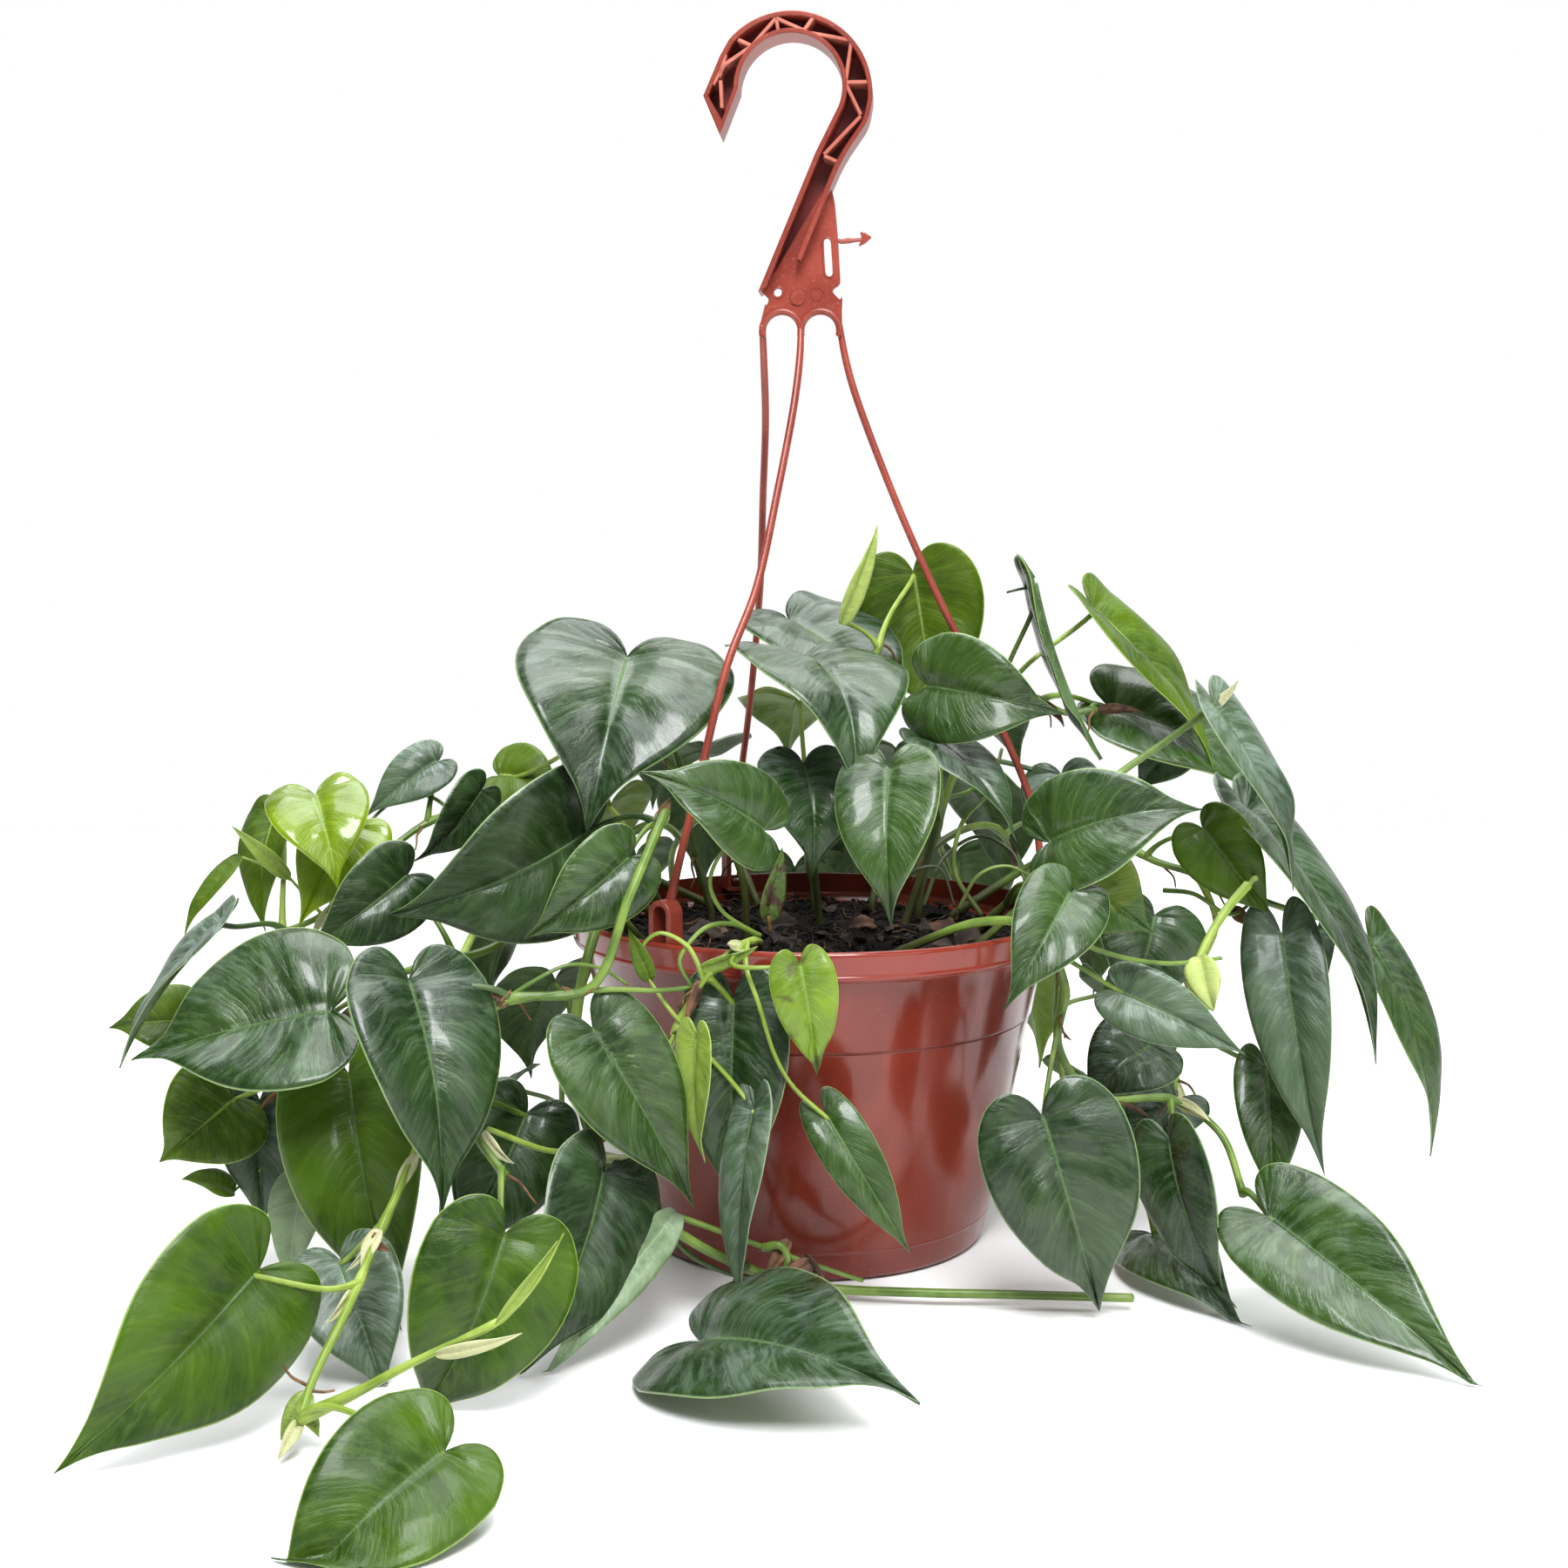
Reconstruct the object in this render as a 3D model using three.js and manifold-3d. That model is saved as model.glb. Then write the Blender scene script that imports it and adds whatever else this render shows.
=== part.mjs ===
// A potted heartleaf philodendron in a plastic pot with a clip-on hanger.
// Millimetres, +Z up, the origin at the centre of the pot's base.

import * as THREE from 'three';
import { mergeVertices } from 'three/addons/utils/BufferGeometryUtils.js';
import Module from 'manifold-3d';

const wasm = await Module();
wasm.setup();

// Driving dimensions of the pot and the soil
const POT_HEIGHT = 135;
const RIM_RADIUS = 100;
const BAND_HEIGHT = 11.5;
const BAND_PROUD = 2.6;
const GROOVE_HEIGHT = 95;
const GROOVE_STEP = 0.9;
const BASE_RADIUS = 70.5;
const WALL = 2.2;
const BASE_THICKNESS = 3;
const DRAIN_RADIUS = 4.5;
const DRAIN_RING = 48;
const DRAIN_COUNT = 6;
const FOOT_HEIGHT = 0.8;
const FOOT_RADIUS = 66;
const SOIL_TOP = 124;
const SOIL_RELIEF = 1.6;
const GAP = 0.3;
const ROUND_SIDES = 36;
const ARC_STEPS = 5;

// Driving dimensions of the hanger
const HOOK_DEPTH = 16;
const HOOK_YAW = -4;
const HOOK_BEND = { x: -9.9, z: 460.2, outer: 32.5, inner: 20.6, lift: 3.4 };
const WEB = 1.6;
const WEB_BACK = 4;
const FLANGE = 1.9;
const RIB = 1.4;
const RIB_INSET = 0.3;
const PLATE_THICKNESS = 3;
const ARCH_RADIUS = 6.5;
const ARCH_HEIGHT = 369.8;
const ARCH_CENTRES = [-13.7, 1.8];
const ARCH_BAND = 2.6;
const STRAND_RADIUS = 1.65;
const EYE = { width: 11, height: 22, wall: 2.3, depth: 7.6, top: 150.6, radius: 93.4 };
const PEG = { width: 5.6, height: 3, length: 9.4 };
const EYE_AZIMUTHS = [-38, 82, -158];

// Driving dimensions of the plant
const BLADE_THICKNESS = 0.9;
const BLADE_CUP = 0.42;
const BLADE_DROOP = 0.3;
const PETIOLE_RADIUS = 1.25;
const ROOT_DEPTH = 25;
const STEM_SIDES = 5;
const STEM_STEP = 24;
const REST_HEIGHT = 2.4;

// The camera that saw the real plant: a place on it is [column, row, y], where column and row are
// pixels of an 1800 pixel square picture and y is the real depth in millimetres.
const CAMERA = { x: -12.8, y: -820, z: 272.8, pitch: 6, focal: 2298, centre: 900 };

function photoPoint([column, row, y]) {
  const pitch = THREE.MathUtils.degToRad(CAMERA.pitch);
  const across = (column - CAMERA.centre) / CAMERA.focal;
  const down = (row - CAMERA.centre) / CAMERA.focal;
  const ray = new THREE.Vector3(
    across,
    Math.cos(pitch) - down * Math.sin(pitch),
    -Math.sin(pitch) - down * Math.cos(pitch),
  );
  const eye = new THREE.Vector3(CAMERA.x, CAMERA.y, CAMERA.z);
  return ray.multiplyScalar((y - CAMERA.y) / ray.y).add(eye);
}

// Solids: closed meshes that can be joined and cut
function solid(geometry) {
  let bare = geometry.clone();
  bare.deleteAttribute('normal');
  bare.deleteAttribute('uv');
  bare = mergeVertices(bare, 1e-4);
  return new wasm.Manifold(new wasm.Mesh({
    numProp: 3,
    vertProperties: new Float32Array(bare.attributes.position.array),
    triVerts: new Uint32Array(bare.index.array),
  }));
}

function geometryOf(body) {
  const mesh = body.getMesh();
  const geometry = new THREE.BufferGeometry();
  geometry.setAttribute('position', new THREE.BufferAttribute(new Float32Array(mesh.vertProperties), 3));
  geometry.setIndex(new THREE.BufferAttribute(new Uint32Array(mesh.triVerts), 1));
  return geometry;
}

function joined(solids) {
  return solids.reduce((whole, piece) => whole.add(piece));
}

function polygon(sides, radius) {
  const shape = new THREE.Shape();
  for (let side = 0; side < sides; side += 1) {
    const angle = (side / sides) * 2 * Math.PI;
    const x = radius * Math.cos(angle);
    const y = radius * Math.sin(angle);
    if (side === 0) shape.moveTo(x, y);
    else shape.lineTo(x, y);
  }
  shape.closePath();
  return shape;
}

function tube(curve, sides, radius, steps) {
  return new THREE.ExtrudeGeometry(polygon(sides, radius), { extrudePath: curve, steps });
}

// Extrudes an outline drawn in x and z, from depth y = back towards the front
function slab(shape, front, back) {
  const settings = { depth: back - front, bevelEnabled: false, curveSegments: ARC_STEPS };
  const geometry = new THREE.ExtrudeGeometry(shape, settings);
  geometry.rotateX(Math.PI / 2);
  geometry.translate(0, back, 0);
  return geometry;
}

function outline(points) {
  return new THREE.Shape(points.map(([x, z]) => new THREE.Vector2(x, z)));
}

function disc(x, z, radius) {
  const shape = new THREE.Shape();
  shape.absarc(x, z, radius, 0, 2 * Math.PI);
  return shape;
}

// The pot: a thin lathed wall with a band at the rim, pegs that hold the hanger's eyes, and under its
// base a flat three-cornered foot that it stands on
function innerRadius(z) {
  const foot = BASE_RADIUS - WALL;
  const head = RIM_RADIUS - BAND_PROUD - WALL;
  return THREE.MathUtils.lerp(foot, head, z / POT_HEIGHT);
}

function makePot() {
  const under = POT_HEIGHT - BAND_HEIGHT;
  const wallAt = (z) => innerRadius(z) + WALL;
  const profile = [
    [0, FOOT_HEIGHT],
    [BASE_RADIUS - 1.2, FOOT_HEIGHT],
    [wallAt(FOOT_HEIGHT + 1.2), FOOT_HEIGHT + 1.2],
    [wallAt(GROOVE_HEIGHT) - GROOVE_STEP, GROOVE_HEIGHT - 1],
    [wallAt(GROOVE_HEIGHT) + GROOVE_STEP / 2, GROOVE_HEIGHT],
    [wallAt(under), under],
    [RIM_RADIUS - 0.6, under],
    [RIM_RADIUS, POT_HEIGHT - 0.8],
    [RIM_RADIUS - 0.8, POT_HEIGHT],
    [RIM_RADIUS - WALL, POT_HEIGHT],
    [RIM_RADIUS - WALL, under + WALL],
    [innerRadius(under - 1), under - 1],
    [innerRadius(BASE_THICKNESS), BASE_THICKNESS],
    [0, BASE_THICKNESS],
  ];
  const lathe = new THREE.LatheGeometry(profile.map(([r, z]) => new THREE.Vector2(r, z)), ROUND_SIDES);
  lathe.rotateX(Math.PI / 2);
  const foot = new THREE.CylinderGeometry(FOOT_RADIUS, FOOT_RADIUS, 2 * FOOT_HEIGHT, 3);
  foot.rotateX(Math.PI / 2);
  foot.translate(0, 0, FOOT_HEIGHT);
  let pot = solid(lathe).add(solid(foot));
  for (let hole = 0; hole < DRAIN_COUNT; hole += 1) {
    const angle = (hole / DRAIN_COUNT) * 2 * Math.PI;
    const drain = new THREE.CylinderGeometry(DRAIN_RADIUS, DRAIN_RADIUS, 4 * BASE_THICKNESS, 8);
    drain.rotateX(Math.PI / 2);
    drain.translate(DRAIN_RING * Math.cos(angle), DRAIN_RING * Math.sin(angle), 0);
    pot = pot.subtract(solid(drain));
  }
  for (const azimuth of EYE_AZIMUTHS) {
    const peg = new THREE.BoxGeometry(PEG.width, PEG.length, PEG.height);
    const wallInside = RIM_RADIUS - WALL / 2;
    peg.translate(0, -wallInside + PEG.length / 2, pegHeight() + PEG.height / 2);
    peg.rotateZ(THREE.MathUtils.degToRad(azimuth));
    pot = pot.add(solid(peg));
  }
  return geometryOf(pot);
}

// The pegs' underside lies just above the lower bar of each eye
function pegHeight() {
  return EYE.top - EYE.height + EYE.wall + GAP;
}

// The soil fills the pot, with a rough top and a plain hole for each stem
function makeSoil() {
  const bottom = BASE_THICKNESS + GAP;
  const radiusAt = (z) => innerRadius(z) - GAP - 0.4;
  const profile = [
    [0, bottom],
    [radiusAt(bottom), bottom],
    [radiusAt(SOIL_TOP - 4), SOIL_TOP - 4],
    [radiusAt(SOIL_TOP) - 6, SOIL_TOP - 1],
    [64, SOIL_TOP],
    [30, SOIL_TOP],
    [0, SOIL_TOP],
  ];
  const lathe = new THREE.LatheGeometry(profile.map(([r, z]) => new THREE.Vector2(r, z)), 24);
  lathe.rotateX(Math.PI / 2);
  const place = lathe.attributes.position;
  for (let i = 0; i < place.count; i += 1) {
    const x = place.getX(i);
    const y = place.getY(i);
    if (place.getZ(i) > SOIL_TOP - 2) {
      const relief = Math.sin(x * 0.19 + 1) * Math.cos(y * 0.23) + 0.5 * Math.sin(x * 0.41 - y * 0.37);
      place.setZ(i, place.getZ(i) + SOIL_RELIEF * relief);
    }
  }
  let soil = solid(lathe);
  for (const vine of ALL_VINES) {
    const radius = vine.thick / 2 + 2 * GAP;
    const hole = new THREE.CylinderGeometry(radius, radius, 2 * ROOT_DEPTH, 6);
    hole.rotateX(Math.PI / 2);
    hole.translate(vine.root[0], vine.root[1], SOIL_TOP - GAP);
    soil = soil.subtract(solid(hole));
  }
  return geometryOf(soil);
}

// The hanger: hook, plate, arches, strands and eyes, moulded as one piece
const HOOK_TIP = [-37.8, 445.6];
const HOOK_SHOULDER = [-44.3, 460.7];
const HOOK_CREST = [-37.7, 475.7];
const HOOK_HEEL = [10.5, 435.4];
const HOOK_FOOT = [-5.5, 396.6];
const INNER_HEEL = [0.1, 438.1];
const INNER_FOOT = [-22.6, 384.6];

function arc(x, z, radius, from, to, count) {
  const points = [];
  for (let i = 0; i <= count; i += 1) {
    const angle = THREE.MathUtils.degToRad(from + ((to - from) * i) / count);
    points.push([x + radius * Math.cos(angle), z + radius * Math.sin(angle)]);
  }
  return points;
}

// The hook's outline, drawn in by a distance: 0 is the outside of its flanges
function hookOutline(inset) {
  const { x, z, outer, inner, lift } = HOOK_BEND;
  return outline([
    [HOOK_TIP[0] + 0.2 * inset, HOOK_TIP[1] + 3 * inset],
    [HOOK_SHOULDER[0] + inset, HOOK_SHOULDER[1]],
    [HOOK_CREST[0] + 0.9 * inset, HOOK_CREST[1] - 0.4 * inset],
    ...arc(x, z, outer - inset, 138, -18, 11),
    [HOOK_HEEL[0] - inset, HOOK_HEEL[1] + 0.4 * inset],
    [HOOK_FOOT[0] - inset, HOOK_FOOT[1] + 0.4 * inset],
    [INNER_FOOT[0] + 1.6 * inset, INNER_FOOT[1] + inset],
    [INNER_HEEL[0] + inset, INNER_HEEL[1] - 0.4 * inset],
    ...arc(x, z + lift, inner + inset, -22, 180, 9),
    [HOOK_TIP[0] + 0.6 * inset, HOOK_TIP[1] + 3 * inset],
  ]);
}

// The ribs between the flanges, each from one end to the other
const RIBS = [
  [[-30.5, 482], [-25, 479.5]], [[-25, 479.5], [-15.5, 490]], [[-15.5, 490], [-14.5, 484.5]],
  [[-15.5, 490], [-4.5, 485]], [[-4.5, 485], [-0.5, 490.5]], [[-4.5, 484.5], [14, 481]],
  [[14, 480], [12, 465.5]], [[12, 465], [20.5, 465]], [[12, 464.5], [18, 452.5]], [[18, 452], [3.5, 437.5]],
  [[3.5, 437], [10.5, 433]], [[-25, 479.5], [-36, 472.5]], [[-36, 472.5], [-40.5, 465]],
  [[-35.5, 476.5], [-38, 468]], [[-37.5, 466.5], [-37, 456]],
];

function ribBetween([x0, z0], [x1, z1]) {
  const length = Math.hypot(x1 - x0, z1 - z0);
  const rib = new THREE.BoxGeometry(length, HOOK_DEPTH - 2 * RIB_INSET, RIB);
  rib.rotateY(-Math.atan2(z1 - z0, x1 - x0));
  rib.translate((x0 + x1) / 2, 0, (z0 + z1) / 2);
  return solid(rib);
}

function makeHook() {
  const half = HOOK_DEPTH / 2;
  const room = solid(slab(hookOutline(FLANGE), -half - 1, half + 1));
  const frame = solid(slab(hookOutline(0), -half, half));
  const web = solid(slab(hookOutline(FLANGE / 2), WEB_BACK - WEB, WEB_BACK));
  const inside = joined(RIBS.map(([start, end]) => ribBetween(start, end))).intersect(frame);
  return joined([frame.subtract(room), web, inside]);
}

function makePlate() {
  const half = PLATE_THICKNESS / 2;
  const [left, right] = ARCH_CENTRES;
  const legs = ARCH_RADIUS + ARCH_BAND;
  const plate = solid(slab(outline([
    [INNER_FOOT[0] + 4, INNER_FOOT[1] + 6], [4.5, 430], [7.4, 421.5], [8.8, 406.5], [9.9, 388],
    [6, 385.7], [10.6, 381], [right + legs - 1, ARCH_HEIGHT + 2], [left - legs + 1, ARCH_HEIGHT + 2],
    [-20.6, 379], [-18.4, 382.2], [-22.2, 385.5],
  ]), -half, half));
  const arch = (x) => solid(slab(disc(x, ARCH_HEIGHT, legs), -half - 0.4, half + 0.4));
  const band = joined(ARCH_CENTRES.map(arch));
  const below = new THREE.BoxGeometry(60, HOOK_DEPTH, 20);
  below.translate(0, 0, ARCH_HEIGHT - 10);
  const opening = (x) => solid(slab(disc(x, ARCH_HEIGHT, ARCH_RADIUS), -half - 1, half + 1));
  const openings = ARCH_CENTRES.map(opening);
  const slot = new THREE.BoxGeometry(3.6, 2 * HOOK_DEPTH, 15);
  slot.rotateY(0.06);
  slot.translate(5, 0, 398.5);
  const hole = solid(slab(disc(-15.2, 385, 1.7), -half - 1, half + 1));
  const boss = solid(slab(disc(-7.2, 382.9, 3), -half - 0.8, half));
  const tie = new THREE.BoxGeometry(11, 1.6, 1.6);
  tie.translate(13.2, 0, 405.4);
  const barb = solid(slab(outline([[17, 402.9], [22.4, 406.4], [17.6, 408.6], [18.4, 405.9]]), -0.9, 0.9));
  return joined([plate, band, boss, solid(tie), barb])
    .subtract(joined([solid(below), ...openings, solid(slot), hole]));
}

// The strands' routes, from the legs of the arches to the tops of the eyes
const STRANDS = [
  [[-5.95, 0, 372], [-6.4, -5, 360], [-8.6, -13, 341], [-15.5, -26, 304], [-23.6, -39, 267],
    [-34.5, -52, 238], [-45, -62, 195], [-53, -69.5, 162], [-56.2, -72, 147]],
  [[9.5, 0, 372], [11.7, -1, 360], [15.6, -2, 345.5], [31.4, -5, 304], [47.7, -8, 267], [70.8, -11, 220],
    [87.7, -12.5, 180], [91.4, -13, 158], [91.6, -13, 147]],
  [[-21.5, 0, 372], [-20.9, 5, 357], [-20.4, 15, 336], [-21.6, 32, 306], [-23.2, 50, 266], [-28, 68, 215],
    [-32.5, 79, 180], [-34.5, 84.5, 158], [-34.7, 85.6, 147]],
];

function makeStrand(points, azimuth) {
  const places = points.map(([x, y, z]) => new THREE.Vector3(x, y, z));
  const curve = new THREE.CatmullRomCurve3(places, false, 'centripetal');
  const strand = solid(tube(curve, 6, STRAND_RADIUS, 14));
  const ring = new THREE.Shape();
  const reach = EYE.width / 2;
  ring.absarc(0, -reach, reach, 0, Math.PI);
  ring.lineTo(-reach, -EYE.height);
  ring.lineTo(reach, -EYE.height);
  const room = new THREE.Path();
  const inside = reach - EYE.wall;
  room.absarc(0, -reach, inside, 0, Math.PI);
  room.lineTo(-inside, -EYE.height + EYE.wall);
  room.lineTo(inside, -EYE.height + EYE.wall);
  ring.holes.push(room);
  const eye = slab(ring, -EYE.depth / 2, EYE.depth / 2);
  eye.translate(0, -EYE.radius, EYE.top);
  eye.rotateZ(THREE.MathUtils.degToRad(azimuth));
  return strand.add(solid(eye));
}

function makeHanger() {
  const head = geometryOf(makeHook().add(makePlate()));
  head.rotateZ(THREE.MathUtils.degToRad(HOOK_YAW));
  const strands = STRANDS.map((points, i) => makeStrand(points, EYE_AZIMUTHS[i]));
  return geometryOf(joined([solid(head), ...strands]));
}

// The vines that the camera saw. Each stem is rooted at [x, y] in millimetres and then follows its
// route. A leaf hangs from its base, where its petiole ends, to its tip. It is "wide" millimetres wide,
// "roll" turns it about its midrib away from the camera, "arch" bends its midrib, and "from" is the part
// of the stem's length where its petiole leaves it. "via" is a place on the petiole.
const SEEN_VINES = [
  { name: 'vine_crown_left', root: [-28, -14], thick: 4.2,
    route: [[850, 1000, -20], [812, 930, -24], [772, 880, -30], [735, 850, -36]],
    leaves: [
      { base: [720, 754, -18], tip: [673, 957, -71], wide: 86, from: 0.8, roll: 4, arch: 0.14 },
      { base: [877, 953, -82], tip: [733, 886, -98], wide: 38, from: 0.45, roll: 27, arch: 0.12 },
      { base: [922, 877, -40], tip: [932, 1007, -54], wide: 43, from: 0.5, roll: -18, arch: 0.1 },
      { base: [572, 890, 32], tip: [652, 912, 24], wide: 34, from: 1, roll: -30, arch: 0.12 },
    ] },
  { name: 'vine_crown_centre', root: [2, 18], thick: 4.2,
    route: [[935, 960, 15], [958, 880, 12], [985, 800, 10], [1010, 740, 14]],
    leaves: [
      { base: [919, 761, -18], tip: [984, 921, -74], wide: 70, from: 0.7, roll: -34, arch: 0.24 },
      { base: [906, 712, 34], tip: [1050, 822, 0], wide: 68, from: 0.8, roll: -55, arch: 0.05 },
      { base: [965, 716, -4], tip: [1007, 603, -6], wide: 9, from: 0.95, roll: 30, arch: 0.04 },
      { base: [1048, 655, 42], tip: [1078, 846, 36], wide: 55, from: 1, roll: 3, arch: -0.12 },
      { base: [1021, 881, -72], tip: [1023, 1066, -92], wide: 40, from: 0.45, roll: 10, arch: 0.14 },
    ] },
  { name: 'vine_crown_right', root: [38, 8], thick: 4.4,
    route: [[1070, 970, 10], [1095, 890, 14], [1130, 830, 18], [1180, 800, 22], [1222, 818, 24],
      [1258, 815, 26]],
    leaves: [
      { base: [1066, 788, -18], tip: [1222, 820, -34], wide: 45, from: 0.4, roll: -4, arch: 0.16 },
      { base: [1185, 664, 8], tip: [1264, 872, 2], wide: 40, from: 0.6, roll: 86, arch: 0.05 },
      { base: [1253, 696, 38], tip: [1399, 890, 27], wide: 50, from: 0.72, roll: -70, arch: 0.08 },
      { base: [1274, 812, 48], tip: [1486, 938, 46], wide: 54, from: 1, roll: -50, arch: 0.12 },
      { base: [1062, 850, -22], tip: [1169, 964, -46], wide: 35, from: 0.25, roll: -58, arch: 0.1 },
      { base: [1218, 888, 14], tip: [1232, 985, 6], wide: 34, from: 0.5, roll: 10, arch: 0.1 },
      { base: [1352, 850, 64], tip: [1302, 910, 60], wide: 26, from: 0.9, roll: 0, arch: 0.1 },
    ] },
  { name: 'vine_right_high', root: [66, -16], thick: 4.4,
    route: [[1200, 990, -40], [1240, 925, -44], [1288, 886, -40], [1340, 850, -38], [1385, 818, -40]],
    leaves: [
      { base: [1204, 967, -78], tip: [1382, 928, -90], wide: 47, from: 0.3, roll: -23, arch: 0.16 },
      { base: [1240, 1010, -66], tip: [1325, 1072, -78], wide: 36, from: 0.25, roll: 0, arch: 0.08 },
      { base: [1229, 1024, -100], tip: [1153, 1160, -122], wide: 33, from: 0.2, roll: 0, arch: 0.14 },
      { base: [1392, 810, -44], tip: [1486, 1022, -60], wide: 38, from: 1, roll: -66, arch: 0.12 },
    ] },
  { name: 'vine_right', root: [58, 20], thick: 4.6,
    route: [[1190, 990, 24], [1262, 960, 16], [1330, 990, 4], [1400, 1010, -2], [1440, 1030, 2],
      [1500, 1050, 8], [1555, 1060, 12]],
    leaves: [
      { base: [1428, 930, 6], tip: [1581, 1222, -40], wide: 50, from: 0.72, roll: -66, arch: 0.1,
        via: [1410, 970, 4] },
      { base: [1380, 950, -14], tip: [1461, 1054, -18], wide: 32, from: 0.5, roll: 0, arch: 0.08 },
      { base: [1572, 1080, 16], tip: [1643, 1328, 6], wide: 34, from: 1, roll: -56, arch: 0.12 },
      { base: [1471, 1072, -22], tip: [1521, 1352, -42], wide: 34, from: 0.82, roll: 8, arch: 0.1 },
      { base: [1379, 1102, -6], tip: [1393, 1161, -8], wide: 16, from: 0.66, roll: 20, arch: 0.1 },
      { base: [1512, 1066, 36], tip: [1508, 1196, 32], wide: 22, from: 0.94, roll: 30, arch: 0.1 },
    ] },
  { name: 'vine_right_low', root: [30, -62], thick: 4.6,
    route: [[1128, 1058, -76], [1186, 1066, -87], [1222, 1130, -84], [1215, 1200, -86], [1260, 1260, -78],
      [1345, 1262, -72], [1400, 1300, -78], [1428, 1372, -96]],
    leaves: [
      { base: [1196, 1280, -112], tip: [1261, 1503, -108], wide: 56, from: 0.46, roll: -4, arch: 0.12 },
      { base: [1342, 1309, -90], tip: [1419, 1503, -100], wide: 36, from: 0.78, roll: 41, arch: 0.1 },
      { base: [1456, 1396, -112], tip: [1704, 1600, -172], wide: 48, from: 1, roll: -12, arch: 0.06 },
      { base: [1322, 1416, -48], tip: [1436, 1538, -118], wide: 38, from: 0.7, roll: -10, arch: 0.16 },
      { base: [1286, 1138, -74], tip: [1431, 1211, -84], wide: 27, from: 0.3, roll: -8, arch: 0.1 },
    ] },
  { name: 'vine_right_side', root: [64, -42], thick: 4.2,
    route: [[1198, 1028, -41], [1240, 1046, -36], [1290, 1090, -22], [1330, 1160, -16], [1350, 1240, -14]],
    leaves: [
      { base: [1326, 1050, -30], tip: [1290, 1166, -36], wide: 46, from: 0.5, roll: -20, arch: 0.1 },
      { base: [1322, 1200, -30], tip: [1240, 1268, -40], wide: 38, from: 0.8, roll: 20, arch: 0.12 },
      { base: [1453, 1222, -14], tip: [1462, 1395, -33], wide: 28, from: 0.9, roll: -5, arch: 0.1 },
      { base: [1352, 1262, -22], tip: [1292, 1345, -44], wide: 32, from: 1, roll: 20, arch: 0.1 },
    ] },
  { name: 'vine_front', root: [-22, -58], thick: 3.3,
    route: [[870, 1080, -86], [848, 1086, -104], [812, 1120, -110], [780, 1172, -110], [748, 1240, -114],
      [690, 1310, -118], [640, 1322, -124], [560, 1296, -134]],
    leaves: [
      { base: [918, 1106, -122], tip: [938, 1236, -118], wide: 24, from: 0.3, roll: -8, arch: 0.1 },
      { base: [948, 1280, -112], tip: [1046, 1441, -110], wide: 21, from: 0.36, roll: 0, arch: 0.14,
        via: [886, 1190, -118] },
      { base: [800, 1190, -124], tip: [808, 1336, -124], wide: 20, from: 0.45, roll: 50, arch: 0.05 },
      { base: [680, 1180, -126], tip: [796, 1386, -126], wide: 43, from: 0.62, roll: -18, arch: 0.06 },
      { base: [842, 1146, -102], tip: [846, 1402, -108], wide: 42, from: 0.42, roll: 10, arch: 0.1 },
      { base: [866, 1272, -120], tip: [851, 1508, -142], wide: 22, from: 0.52, roll: 44, arch: 0.06 },
    ] },
  { name: 'vine_front_left', root: [-56, -30], thick: 5,
    route: [[742, 1000, -58], [764, 932, -98], [722, 1030, -124], [678, 1134, -128], [574, 1152, -130],
      [520, 1240, -134], [545, 1300, -140], [580, 1350, -150]],
    leaves: [
      { base: [674, 956, -46], tip: [443, 1050, -74], wide: 66, from: 0.25, roll: -22, arch: 0.14 },
      { base: [722, 984, -112], tip: [601, 1078, -124], wide: 33, from: 0.3, roll: -12, arch: 0.12 },
      { base: [469, 1125, -142], tip: [505, 1396, -165], wide: 57, from: 0.7, roll: -30, arch: 0.1 },
      { base: [580, 1416, -186], tip: [480, 1624, -184], wide: 54, from: 1, roll: -18, arch: 0.16 },
      { base: [606, 1276, -100], tip: [524, 1444, -110], wide: 46, from: 0.9, roll: -10, arch: 0.1 },
    ] },
  { name: 'vine_left', root: [-64, 4], thick: 4.4,
    route: [[700, 1010, -6], [640, 1040, -20], [560, 1090, -50], [480, 1110, -76], [420, 1140, -96],
      [380, 1200, -92], [330, 1250, -84]],
    leaves: [
      { base: [380, 1162, -116], tip: [150, 1217, -118], wide: 69, from: 0.78, roll: 35, arch: 0.05 },
      { base: [400, 1232, -104], tip: [461, 1530, -124], wide: 58, from: 0.9, roll: 14, arch: 0.1 },
      { base: [268, 1262, -86], tip: [182, 1335, -96], wide: 42, from: 1, roll: 0, arch: 0.1 },
      { base: [302, 1266, -64], tip: [306, 1410, -74], wide: 34, from: 1, roll: 20, arch: 0.08 },
      { base: [221, 1172, -26], tip: [123, 1180, -33], wide: 29, from: 0.95, roll: 17, arch: 0.1 },
      { base: [468, 1004, -52], tip: [348, 1092, -70], wide: 36, from: 0.5, roll: -14, arch: 0.1 },
    ] },
  { name: 'vine_left_high', root: [-60, 34], thick: 4.2,
    route: [[700, 1000, 30], [640, 950, 24], [560, 930, 18], [500, 940, 8], [430, 990, -8], [370, 1050, -20],
      [320, 1072, -30]],
    leaves: [
      { base: [362, 912, -36], tip: [388, 1021, -57], wide: 40, from: 0.85, roll: -6, arch: 0.14 },
      { base: [408, 948, -22], tip: [343, 1064, -40], wide: 35, from: 0.8, roll: 10, arch: 0.12 },
      { base: [317, 932, -4], tip: [304, 1070, -14], wide: 27, from: 0.95, roll: 43, arch: 0.1 },
      { base: [258, 1056, -48], tip: [136, 1226, -67], wide: 38, from: 1, roll: 80, arch: 0.08 },
      { base: [503, 874, 12], tip: [419, 938, 4], wide: 24, from: 0.6, roll: 20, arch: 0.1 },
      { base: [553, 907, 4], tip: [473, 990, -8], wide: 25, from: 0.5, roll: -30, arch: 0.12 },
    ] },
  { name: 'vine_left_low', root: [-44, 48], thick: 4.6,
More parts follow.
